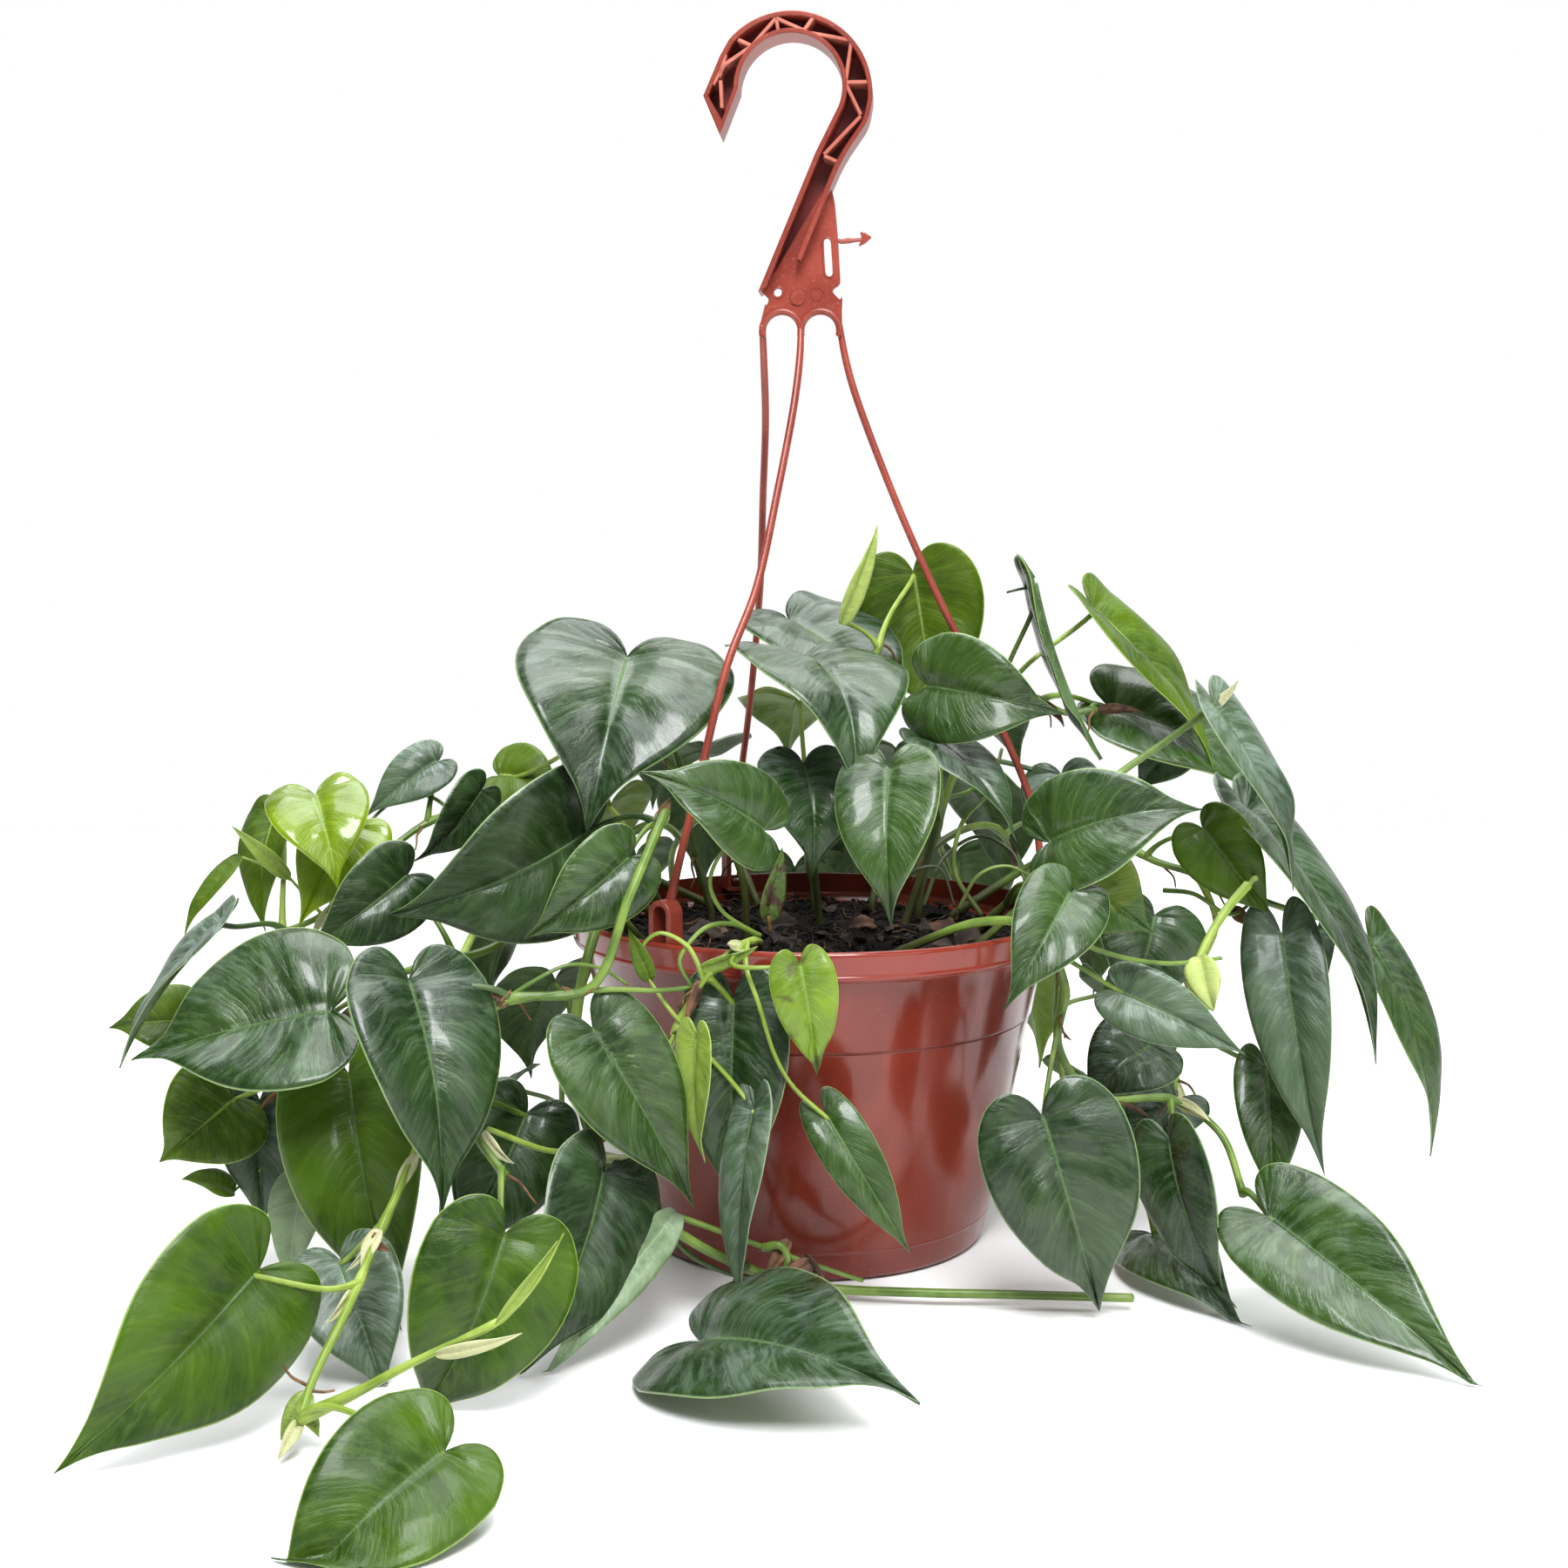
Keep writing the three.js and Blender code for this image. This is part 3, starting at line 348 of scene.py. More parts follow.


# Each leaf's deep, light, vein and margin colours, then its roughness, coat, speckle, painted sheen and level
# where they aren't the usual ones
LEAF_TONES = {
    "deep": ((22, 42, 16), (44, 67, 30), (110, 140, 92), (150, 180, 120)),
    "mid": ((28, 50, 14), (52, 77, 26), (116, 150, 80), (160, 190, 118)),
    "olive": ((34, 58, 2), (64, 92, 6), (110, 138, 40), (160, 188, 100), 0.34, 0.12, 0.08, 0.05, 0.26),
    "bright": ((50, 74, 2), (80, 106, 8), (130, 156, 46), (176, 198, 104), 0.36, 0.12, 0.1, 0.04, 0.26),
    "lime": ((74, 100, 2), (114, 140, 10), (160, 184, 60), (184, 206, 98), 0.16, 0.6, 0.05, 0.0),
    "young": ((92, 118, 28), (136, 158, 62), (180, 200, 116), (196, 214, 132), 0.36, 0.2, 0.06, 0.05),
    # A greyer, bluer copy of the leaf colours with a strong painted sheen, for leaves where sky light gleams
    # on them
    "sheen_grey": ((46, 64, 44), (74, 94, 66), (136, 154, 126), (160, 182, 140), 0.38, 0.15, 0.2, 0.42),
    "edged": ((40, 72, 20), (74, 104, 32), (140, 164, 84), (140, 98, 56), 0.36, 0.15, 0.14),
    "blotched": ((84, 112, 18), (116, 144, 34), (166, 188, 80), (172, 200, 80), 0.32, 0.25, 0.08, 0.05),
    "spotted": ((56, 80, 24), (86, 108, 40), (120, 140, 60), (110, 140, 60), 0.36, 0.2, 0.2, 0.05),
    "bud": ((140, 162, 70), (184, 200, 116), (212, 222, 156), (220, 224, 176), 0.4, 0.1, 0.1, 0.0),
    "under": ((54, 80, 42), (82, 108, 62), (146, 168, 118), (160, 186, 138), 0.46, 0.0, 0.15, 0.1, 0.3),
    "under_light": (
        (98, 130, 44), (134, 162, 74), (176, 196, 124), (190, 210, 138), 0.44, 0.05, 0.08, 0.05, 0.3,
    ),
    "pale": ((104, 126, 90), (146, 166, 130), (180, 194, 160), (190, 206, 170), 0.46, 0.05, 0.1, 0.2, 0.3),
}
SHEATH_TONE = ((168, 172, 118), (204, 202, 158), (228, 226, 198), (230, 224, 200), 0.5, 0.0, 0.0, 0.0)
# The scale, the colour and the strength of a leaf's damp or brown patches
BLOTCHES = {
    "edged": (34, (128, 146, 60), 0.5),
    "blotched": (36, (64, 60, 30), 0.75),
    "spotted": (110, (58, 34, 24), 0.95),
}
MATERIALS = {
    **{
        tone: leaf_material("leaf_" + tone, *row, blotch=BLOTCHES.get(tone))
        for tone, row in LEAF_TONES.items()
    },
    "stem": stem_material("stem_green", (72, 100, 32), (116, 142, 60), (86, 76, 42)),
    "stem_dark": stem_material("stem_dark", (38, 60, 26), (68, 94, 42), (74, 62, 38)),
    "stem_lime": stem_material("stem_lime", (112, 138, 42), (154, 176, 78), (140, 128, 66)),
    "sheath": leaf_material("sheath_pale", *SHEATH_TONE),
    "dry": dry_material("dry_brown", (58, 38, 28), (116, 82, 60)),
    "root": dry_material("root_brown", (84, 60, 38), (134, 100, 66)),
    "fibre": dry_material("fibre_dark", (30, 22, 18), (68, 52, 41)),
    "pot": pot_material(),
    "hanger": hanger_material("hanger_satin", (126, 48, 36), (150, 66, 51), (200, 128, 110)),
    # Lit and shaded copies of the same plastic: the ribs lighter, a painted highlight on their raised faces,
    # and the web darker, painted shade in the recess
    "hanger_rib_lit": hanger_material("hanger_rib_lit", (176, 96, 80), (204, 126, 108), (226, 170, 154)),
    "hanger_web_shaded": hanger_material("hanger_web_shaded", (100, 38, 34), (122, 50, 44), (150, 76, 64)),
    "soil": soil_material(),
}
PALE_TONES = {"bright", "lime", "young", "blotched", "bud", "sheath", "edged"}


# Meshes


class Skin:
    """Collects the faces of one piece, in millimetres."""

    def __init__(self):
        self.places, self.faces, self.corners, self.slots, self.names = [], [], [], [], []

    def add(self, places, faces, corners, tone):
        """corners holds one (u, v) for each corner of each face."""
        if tone not in self.names:
            self.names.append(tone)
        first = len(self.places)
        self.places.extend(places)
        self.faces.extend([first + i for i in face] for face in faces)
        self.corners.extend(corners)
        self.slots.extend([self.names.index(tone)] * len(faces))

    def lay(self, places, faces, tone, up=1):
        """Adds faces whose corners' u and v are their x and the coordinate of the number up."""
        corners = [tuple((places[i].x / UV_STEP, places[i][up] / UV_STEP) for i in face) for face in faces]
        self.add(places, faces, corners, tone)

    def make(self, name, sharp=None):
        mesh = bpy.data.meshes.new(name)
        mesh.from_pydata([place * MM for place in self.places], [], self.faces)
        mesh.polygons.foreach_set("material_index", self.slots)
        layer = mesh.uv_layers.new(name="UVMap")
        numbers = [number for face in self.corners for corner in face for number in corner]
        layer.data.foreach_set("uv", numbers)
        for tone in self.names:
            mesh.materials.append(MATERIALS[tone])
        body = bmesh.new()
        body.from_mesh(mesh)
        bmesh.ops.remove_doubles(body, verts=body.verts, dist=WELD * MM)
        bmesh.ops.recalc_face_normals(body, faces=body.faces)
        body.to_mesh(mesh)
        body.free()
        mesh.polygons.foreach_set("use_smooth", [True] * len(mesh.polygons))
        if sharp is not None:
            mesh.set_sharp_from_angle(angle=radians(sharp))
        return placed(name, mesh)


def placed(name, data):
    piece = bpy.data.objects.new(name, data)
    bpy.context.scene.collection.objects.link(piece)
    return piece


def lerp(a, b, t):
    return a + (b - a) * t


def catmull(points, t):
    """A centripetal Catmull-Rom curve through the points, at t from 0 to 1."""
    last = len(points) - 1
    i = min(int(t * last), last - 1)
    w = t * last - i
    p1, p2 = points[i], points[i + 1]
    p0 = points[i - 1] if i > 0 else 2 * points[0] - points[1]
    p3 = points[i + 2] if i + 2 <= last else 2 * points[last] - points[last - 1]
    d0, d1, d2 = (max((b - a).length, 1e-8) ** 0.5 for a, b in ((p0, p1), (p1, p2), (p2, p3)))
    m1 = ((p1 - p0) / d0 - (p2 - p0) / (d0 + d1) + (p2 - p1) / d1) * d1
    m2 = ((p2 - p1) / d1 - (p3 - p1) / (d1 + d2) + (p3 - p2) / d2) * d1
    turn = 3 * w**2 - 2 * w**3
    return (1 - turn) * p1 + (w**3 - 2 * w**2 + w) * m1 + turn * p2 + (w**3 - w**2) * m2


class Route:
    """A curve measured along its length."""

    def __init__(self, at, divisions=200):
        self.samples = [at(i / divisions) for i in range(divisions + 1)]
        self.lengths = [0.0]
        for a, b in zip(self.samples, self.samples[1:]):
            self.lengths.append(self.lengths[-1] + (b - a).length)
        self.length = self.lengths[-1]

    def at(self, part):
        goal = min(max(part, 0.0), 1.0) * self.length
        high = min(bisect_right(self.lengths, goal), len(self.lengths) - 1)
        low = high - 1
        span = self.lengths[high] - self.lengths[low]
        share = (goal - self.lengths[low]) / span if span else 0.0
        return self.samples[low].lerp(self.samples[high], share)

    def points(self, step):
        count = max(2, round(self.length / step))
        return [self.at(i / count) for i in range(count + 1)]


def through(points):
    return Route(lambda t: catmull(points, t))


def bezier(a, b, c, d):
    def at(t):
        return (1 - t) ** 3 * a + 3 * (1 - t) ** 2 * t * b + 3 * (1 - t) * t**2 * c + t**3 * d

    return Route(at, 60)


def circle(radius, z, sides, turn=0.0):
    """The places of a level ring round the axis, turned by a part of a side."""
    angles = [2 * pi * (side + turn) / sides for side in range(sides)]
    return [Vector((radius * cos(angle), radius * sin(angle), z)) for angle in angles]


def ring_faces(heights, sides, turns=1):
    """The faces between rings of places and their corners' (u, v), where heights gives each ring's v."""
    faces, corners = [], []
    for ring, (low, high) in enumerate(zip(heights, heights[1:])):
        for side in range(sides):
            a, b = ring * sides + side, ring * sides + (side + 1) % sides
            faces.append((a, b, b + sides, a + sides))
            left, right = turns * side / sides, turns * (side + 1) / sides
            corners.append(((left, low), (right, low), (right, high), (left, high)))
    return faces, corners


def sweep(skin, path, radius, sides, tone, squash=1.0):
    """A closed tube along the path; radius is a number or a function of the part of the length."""
    size = radius if callable(radius) else lambda part: radius
    end = len(path) - 1
    tangents = [(path[min(i + 1, end)] - path[max(i - 1, 0)]).normalized() for i in range(end + 1)]
    run = [0.0]
    for a, b in zip(path, path[1:]):
        run.append(run[-1] + (b - a).length)
    first, last = size(0.0), size(1.0)
    back, ahead = -first * tangents[0], last * tangents[-1]
    rings = [(path[0] + CAP_STEP * back, tangents[0], CAP_WIDTH * first, 0.0)]
    rings += [(path[i], tangents[i], size(run[i] / run[-1]), run[i]) for i in range(end + 1)]
    rings.append((path[-1] + CAP_STEP * ahead, tangents[-1], CAP_WIDTH * last, run[-1]))
    places = []
    normal = tangents[0].orthogonal().normalized()
    for centre, tangent, reach, _ in rings:
        normal = (normal - tangent * normal.dot(tangent)).normalized()
        other = tangent.cross(normal)
        for side in range(sides):
            angle = 2 * pi * side / sides
            places.append(centre + normal * (reach * cos(angle)) + other * (reach * squash * sin(angle)))
    faces, corners = ring_faces([ring[3] / UV_STEP for ring in rings], sides)
    foot, top = len(places), len(places) - sides
    places += [path[0] + CAP_TIP * back, path[-1] + CAP_TIP * ahead]
    for side in range(sides):
        after = (side + 1) % sides
        faces += [(after, side, foot), (top + side, top + after, foot + 1)]
        corners += [((0.5, 0.0),) * 3, ((0.5, run[-1] / UV_STEP),) * 3]
    skin.add(places, faces, corners, tone)


def drawn_in(loop, inset):
    """The outline moved inwards by the inset."""
    result = []
    for i, point in enumerate(loop):
        here = Vector(point)
        before = (Vector(loop[i - 1]) - here).normalized()
        after = (Vector(loop[(i + 1) % len(loop)]) - here).normalized()
        left = Vector((before.y - after.y, after.x - before.x))
        scale = inset / max(0.35, 0.5 * left.length)
        result.append(here + left.normalized() * scale)
    return result


def slab(skin, loops, front, back, edge, tone, turn=Matrix.Identity(4)):
    """A bevelled plate drawn in x and z from front to back. The first loop is its outline."""
    places, faces, low, high, caps = [], [], [], [], []
    for order, loop in enumerate(loops):
        area = sum(a[0] * b[1] - b[0] * a[1] for a, b in zip(loop, loop[1:] + loop[:1]))
        if (area > 0) != (order == 0):
            loop = loop[::-1]
        start, count = len(places), len(loop)
        for inset, y in ((edge, front), (0.0, front + edge), (0.0, back - edge), (edge, back)):
            places += [turn @ Vector((x, y, z)) for x, z in drawn_in(loop, inset)]
        faces += [[start + i for i in face] for face in ring_faces(range(4), count)[0]]
        low += range(start, start + count)
        high += range(start + 3 * count, start + 4 * count)
        caps.append([Vector((x, z, 0)) for x, z in drawn_in(loop, edge)])
    for a, b, c in tessellate_polygon(caps):
        faces += [(low[a], low[b], low[c]), (high[c], high[b], high[a])]
    skin.lay(places, faces, tone, 2)


def arc(x, z, radius, start, end, count):
    angles = [radians(start + (end - start) * i / count) for i in range(count + 1)]
    return [(x + radius * cos(angle), z + radius * sin(angle)) for angle in angles]


def rounded(points, radius, steps=4):
    """The closed outline with its corners rounded; a point may carry its own radius."""
    result = []
    for i, point in enumerate(points):
        here = Vector(point[:2])
        size = point[2] if len(point) > 2 else radius
        before = Vector(points[i - 1][:2]) - here
        after = Vector(points[(i + 1) % len(points)][:2]) - here
        if not size:
            result.append(tuple(here))
            continue
        reach = min(size, 0.45 * before.length, 0.45 * after.length)
        a, b = here + before.normalized() * reach, here + after.normalized() * reach
        parts = [step / steps for step in range(steps + 1)]
        result += [tuple(a * (1 - t) ** 2 + here * (2 * t * (1 - t)) + b * t**2) for t in parts]
    return result


def lathe(skin, profile, sides, tone):
    """Turns a profile of (radius, height) round the axis."""
    places = [place for radius, height in profile for place in circle(radius, height, sides)]
    skin.add(places, *ring_faces([height / UV_STEP for _, height in profile], sides, UV_TURNS), tone)


# The pot


def inner_radius(z):
    return lerp(BASE_RADIUS - WALL, RIM_RADIUS - BAND_PROUD - WALL, z / POT_HEIGHT)


def wall_at(z):
    return inner_radius(z) + WALL


def make_pot():
    """The drained shell, with the three pegs and the three-cornered foot as its child."""
    under = POT_HEIGHT - BAND_HEIGHT
    groove = wall_at(GROOVE_HEIGHT)
    lip = RIM_RADIUS - WALL
    # Each corner's radius and height, and how far it is rounded
    profile = [
        (0.01, 1.4, 0), (FOOT_RADIUS, 1.4, 1.5), (FOOT_RADIUS + 2, FOOT_HEIGHT, 1.0),
        (BASE_RADIUS - 0.6, FOOT_HEIGHT, 1.2), (wall_at(2.4), 2.4, 1.2), (wall_at(11.6), 11.6, 0.5),
        (wall_at(12.1) + 0.35, 12.1, 0.4), (wall_at(12.8) + 0.1, 12.8, 0.5), (wall_at(60), 60, 0),
        (groove - 0.5, GROOVE_HEIGHT - 1.1, 0.8), (groove - 0.75, GROOVE_HEIGHT - 0.5, 0.4),
        (groove + 0.4, GROOVE_HEIGHT, 0.5), (wall_at(under - 0.5), under - 0.5, 1.0),
        (RIM_RADIUS - 1.0, under, 1.0), (RIM_RADIUS - 0.35, under + 1.0, 0.8),
        (RIM_RADIUS - 0.2, under + 2.0, 0.5), (RIM_RADIUS - 0.6, under + 2.6, 0.5),
        (RIM_RADIUS - 0.1, POT_HEIGHT - 1.2, 1.4), (RIM_RADIUS - 1.1, POT_HEIGHT, 1.2),
        (lip, POT_HEIGHT, 0.8), (lip, under + WALL, 1.0), (inner_radius(under - 1), under - 1, 1.0),
        (inner_radius(BASE_THICKNESS), BASE_THICKNESS, 2.0), (0.01, BASE_THICKNESS, 0),
    ]
    skin = Skin()
    lathe(skin, rounded(profile, 1.0, 5), POT_SIDES, "pot")
    shell = skin.make("pot_shell", POT_CREASE)
    drains = Skin()
    for hole in circle(DRAIN_RING, 0, DRAIN_COUNT):
        sweep(drains, [hole + Vector((0, 0, z)) for z in (-5, 0, 10)], DRAIN_RADIUS, DRAIN_SIDES, "pot")
    cutter = drains.make("drain_cutter")
    cut = shell.modifiers.new("drains", "BOOLEAN")
    cut.object = cutter
    cut.solver = "EXACT"
    shown = shell.evaluated_get(bpy.context.evaluated_depsgraph_get())
    mesh = bpy.data.meshes.new_from_object(shown)
    shell.modifiers.clear()
    shell.data = mesh
    mesh.set_sharp_from_angle(angle=radians(POT_CREASE))
    bpy.data.objects.remove(cutter)
    pegs = Skin()
    half = PEG_WIDTH / 2
    peg = rounded([(-half, 0), (half, 0), (half, PEG_HEIGHT), (-half, PEG_HEIGHT)], 0.6, 3)
    peg_place = Matrix.Translation((0, WALL / 2 - RIM_RADIUS, EYE_TOP - EYE_HEIGHT + EYE_WALL + GAP))
    for azimuth in EYE_AZIMUTHS:
        turn = Matrix.Rotation(radians(azimuth), 4, "Z") @ peg_place
        slab(pegs, [peg], 0, PEG_LENGTH, PLASTIC_EDGE, "pot", turn)
    foot = [(FOOT_RADIUS * sin(a), FOOT_RADIUS * cos(a), 5) for a in (0, 2 * pi / 3, 4 * pi / 3)]
    flat = Matrix.Rotation(pi / 2, 4, "X")
    slab(pegs, [rounded(foot, 5, 5)], 0, 2 * FOOT_HEIGHT, PLASTIC_EDGE, "pot", flat)
    pegs.make("pot_pegs_and_foot", 40).parent = shell
    return shell


# The hanger

HOOK_TIP = (-37.8, 445.6)
HOOK_SHOULDER = (-44.3, 460.7)
HOOK_CREST = (-37.7, 475.7)
HOOK_HEEL = (10.5, 435.4)
HOOK_FOOT = (-5.5, 396.6)
INNER_HEEL = (0.1, 438.1)
INNER_FOOT = (-22.6, 384.6)
RIBS = (
    ((-30.5, 482), (-25, 479.5)), ((-25, 479.5), (-15.5, 490)), ((-15.5, 490), (-14.5, 484.5)),
    ((-15.5, 490), (-4.5, 485)), ((-4.5, 485), (-0.5, 490.5)), ((-4.5, 484.5), (14, 481)),
    ((14, 480), (12, 465.5)), ((12, 465), (20.5, 465)), ((12, 464.5), (18, 452.5)), ((18, 452), (3.5, 437.5)),
    ((3.5, 437), (9.6, 434.2)), ((-25, 479.5), (-36, 472.5)), ((-36, 472.5), (-40.5, 465)),
    ((-35.5, 476.5), (-38, 468)), ((-37.5, 466.5), (-37, 456)),
)
STRANDS = (
    ((-5.95, 0, 372), (-6.4, -5, 360), (-8.6, -13, 341), (-15.5, -26, 304), (-23.6, -39, 267),
     (-34.5, -52, 238), (-45, -62, 195), (-53, -69.5, 162), (-56.2, -72, 147)),
    ((9.5, 0, 372), (11.7, -1, 360), (15.6, -2, 345.5), (31.4, -5, 304), (47.7, -8, 267), (70.8, -11, 220),
     (87.7, -12.5, 180), (91.4, -13, 158), (91.6, -13, 147)),
    ((-21.5, 0, 372), (-20.9, 5, 357), (-20.4, 15, 336), (-21.6, 32, 306), (-23.2, 50, 266), (-28, 68, 215),
     (-32.5, 79, 180), (-34.5, 84.5, 158), (-34.7, 85.6, 147)),
)


def hook_path(inset):
    """The hook's outline from its foot over the bend to the tip and back along its inside."""
    bend = arc(BEND_X, BEND_Z, BEND_OUTER - inset, -18, 138, 40)
    foot = (HOOK_FOOT[0] - inset, HOOK_FOOT[1] + 0.4 * inset, 0)
    heel = (HOOK_HEEL[0] - inset, HOOK_HEEL[1] + 0.4 * inset, 9)
    return [
        *rounded([foot, heel, (*bend[0], 9), (*bend[4], 0)], 0, 6)[:-1],
        *bend[4:],
        (HOOK_CREST[0] + 0.9 * inset, HOOK_CREST[1] - 0.4 * inset),
        (HOOK_SHOULDER[0] + inset, HOOK_SHOULDER[1]),
        (HOOK_TIP[0] + 0.4 * inset, HOOK_TIP[1] + 3 * inset),
        *arc(BEND_X, BEND_Z + BEND_LIFT, BEND_INNER + inset, 180, -22, 36),
        (INNER_HEEL[0] + inset, INNER_HEEL[1] - 0.4 * inset),
        (INNER_FOOT[0] + 1.6 * inset, INNER_FOOT[1] + inset),
    ]


def strand_size(part):
    """A strand's radius: a little less where it leaves the arches and more above its eye."""
    neck = 0.1 * exp(-((part / 0.05) ** 2))
    head = 0.45 * exp(-(((1 - part) / 0.03) ** 2))
    return STRAND_RADIUS * (1 - neck + head)


def make_hanger():
    """The hook with its web and ribs, the plate with its arches and marks, the strands and their eyes."""
    turn = Matrix.Rotation(radians(HOOK_YAW), 4, "Z")
    skin = Skin()

    def plate(loops, front, back, edge, tone="hanger"):
        slab(skin, loops, front, back, edge, tone, turn)

    def bead(loop, depth, thick, sides, step=None):
        path = [turn @ Vector((x, depth, z)) for x, z in loop]
        sweep(skin, through(path).points(step) if step else path, thick, sides, "hanger")

    half, thick = HOOK_DEPTH / 2, PLATE_THICKNESS / 2
    rib_half = half - RIB_INSET
    plate([hook_path(0) + hook_path(FLANGE)[::-1]], -half, half, 0.35)
    plate([hook_path(FLANGE / 2)], WEB_BACK - WEB, WEB_BACK, 0.2, "hanger_web_shaded")
    for start, end in RIBS:
        a, b = Vector(start), Vector(end)
        side = (b - a).normalized().orthogonal() * RIB / 2
        plate([[a - side, b - side, b + side, a + side]], -rib_half, rib_half - 2.5, 0.25, "hanger_rib_lit")
    left, right = ARCH_CENTRES
    legs = ARCH_RADIUS + ARCH_BAND
    low = (INNER_FOOT[0] + 4, INNER_FOOT[1] + 6, 1)
    shoulder = [low, (-22.2, 385.5, 1), (-18.4, 382.2, 3), (-20.6, 379, 3)]
    neck = [(10.6, 381, 3), (6, 385.7, 3), (9.9, 388, 1.5), (8.8, 406.5, 4), (7.4, 421.5, 3), (4.5, 430, 2)]
    outline = [
        *rounded(shoulder, 1),
        *arc(left, ARCH_HEIGHT, legs, 165, 180, 4), *arc(left, ARCH_HEIGHT, ARCH_RADIUS, 180, 0, 18),
        *arc(right, ARCH_HEIGHT, ARCH_RADIUS, 180, 0, 18), *arc(right, ARCH_HEIGHT, legs, 0, 15, 4),
        *rounded(neck, 1),
    ]
    ends = arc(0, SLOT_REACH, SLOT_RADIUS, 0, 180, 8) + arc(0, -SLOT_REACH, SLOT_RADIUS, 180, 360, 8)
    slot = [(SLOT_X + x - SLOT_SLANT * z, SLOT_Z + z) for x, z in ends]
    plate([outline, slot, arc(HOLE_X, HOLE_Z, HOLE_RADIUS, 0, 345, 23)], -thick, thick, HANGER_EDGE)
    # The raised rims of the hole and the slot, a boss, a ring, the bead over each arch and the barbed tie
    bead(arc(HOLE_X, HOLE_Z, HOLE_RADIUS + 0.4, 0, 352, 30), -thick, 0.5, 8)
    bead(slot + slot[:1], -thick, 0.45, 8, 0.8)
    plate([arc(-7.2, 382.9, 3.1, 0, 350, 35)], -thick - 0.9, thick, HANGER_EDGE)
    bead(arc(0.6, 384.2, 2.6, 0, 352, 30), -thick, 0.28, 6)
    for x in ARCH_CENTRES:
        bead(arc(x, ARCH_HEIGHT, ARCH_RADIUS + 1.3, -14, 194, 40), -1.1, 1.45, 12)
    tie = ((7.4, 405.8), (10, 404.9), (13, 405.2), (16, 405.4), (18.7, 405.6))
    bead(tie, 0, lambda part: 0.8 + 0.5 * exp(-(((part - 0.4) / 0.16) ** 2)), 10)
    barb = [(17, 402.9), (19.5, 403.9), (22.4, 406.4), (19.8, 408.2), (17.6, 408.6), (18.4, 405.9)]
    plate([rounded(barb, 0.5, 3)], -0.9, 0.9, HANGER_EDGE)
    # The eyes, with their lower corners cut
    reach, inside = EYE_WIDTH / 2, EYE_WIDTH / 2 - EYE_WALL
    cut, low, sill = reach - 1.2, 1.2 - EYE_HEIGHT, EYE_WALL - EYE_HEIGHT
    ring = arc(0, -reach, reach, 0, 180, 20)
    ring += [(-reach, low), (-cut, -EYE_HEIGHT), (cut, -EYE_HEIGHT), (reach, low)]
    room = arc(0, -reach, inside, 0, 180, 16) + [(-inside, sill), (inside, sill)]
    for points, azimuth in zip(STRANDS, EYE_AZIMUTHS):
        path = through([Vector(point) for point in points]).points(STRAND_RINGS)
        sweep(skin, path, strand_size, 12, "hanger", STRAND_SQUASH)
        stand = Matrix.Rotation(radians(azimuth), 4, "Z") @ Matrix.Translation((0, -EYE_RADIUS, EYE_TOP))
        slab(skin, [ring, room], -EYE_DEPTH / 2, EYE_DEPTH / 2, 0.35, "hanger", stand)
    return skin.make("hanger_clip", 35)


# The leaves

# Half of the heart's outline as (along, across, where its rib leaves the midrib)
HEART = [Vector(row) for row in (
    (0, 0, 0), (-0.07, 0.09, 0), (-0.13, 0.28, 0), (-0.135, 0.52, 0), (-0.075, 0.78, 0.01),
    (0.05, 0.96, 0.03), (0.19, 1, 0.07), (0.34, 0.94, 0.14), (0.48, 0.8, 0.24), (0.61, 0.59, 0.36),
    (0.72, 0.37, 0.5), (0.81, 0.195, 0.64), (0.9, 0.08, 0.8), (1, 0, 1),
)]
# Half of a folded young leaf, a bud or a sheath
LANCE = [Vector(row) for row in (
    (0, 0, 0), (0.01, 0.35, 0), (0.08, 0.72, 0.03), (0.22, 0.98, 0.13), (0.4, 1, 0.3), (0.62, 0.72, 0.52),
    (0.82, 0.36, 0.76), (1, 0, 1),
)]
BOTH_SIDES_ALIKE = ("bud", "sheath", "dry")


class Blade:
    """The frame of a blade at its base, with its length, its half width and its arch."""

    def __init__(self, base, tip, facing, wide, roll, arch):
        self.base, self.half, self.arch = base, wide / 2, arch
        self.length = (tip - base).length
        self.axis = (tip - base).normalized()
        normal = (facing - self.axis * facing.dot(self.axis)).normalized()
        self.normal = Matrix.Rotation(radians(roll), 3, self.axis) @ normal
        self.side = self.axis.cross(self.normal)

    def point(self, along, across, lift, cup=1.0, rest=REST_HEIGHT):
        """The place at a part of the length and of the half width, lifted off the blade."""
        bend = 4 * self.arch * (1 - along) if along > 0 else 2 * self.arch
        slope = 4 * self.arch * (1 - 2 * along) if along > 0 else 2 * self.arch
        upright = (self.normal - self.axis * slope).normalized()
        hollow = self.half * cup * (BLADE_CUP * abs(across) - BLADE_DROOP * across**2)
        place = self.base + (self.axis + self.normal * bend) * (along * self.length)
        place += self.side * (across * self.half) + upright * (hollow + lift)
        place.z = max(place.z, rest + lift)
        return place


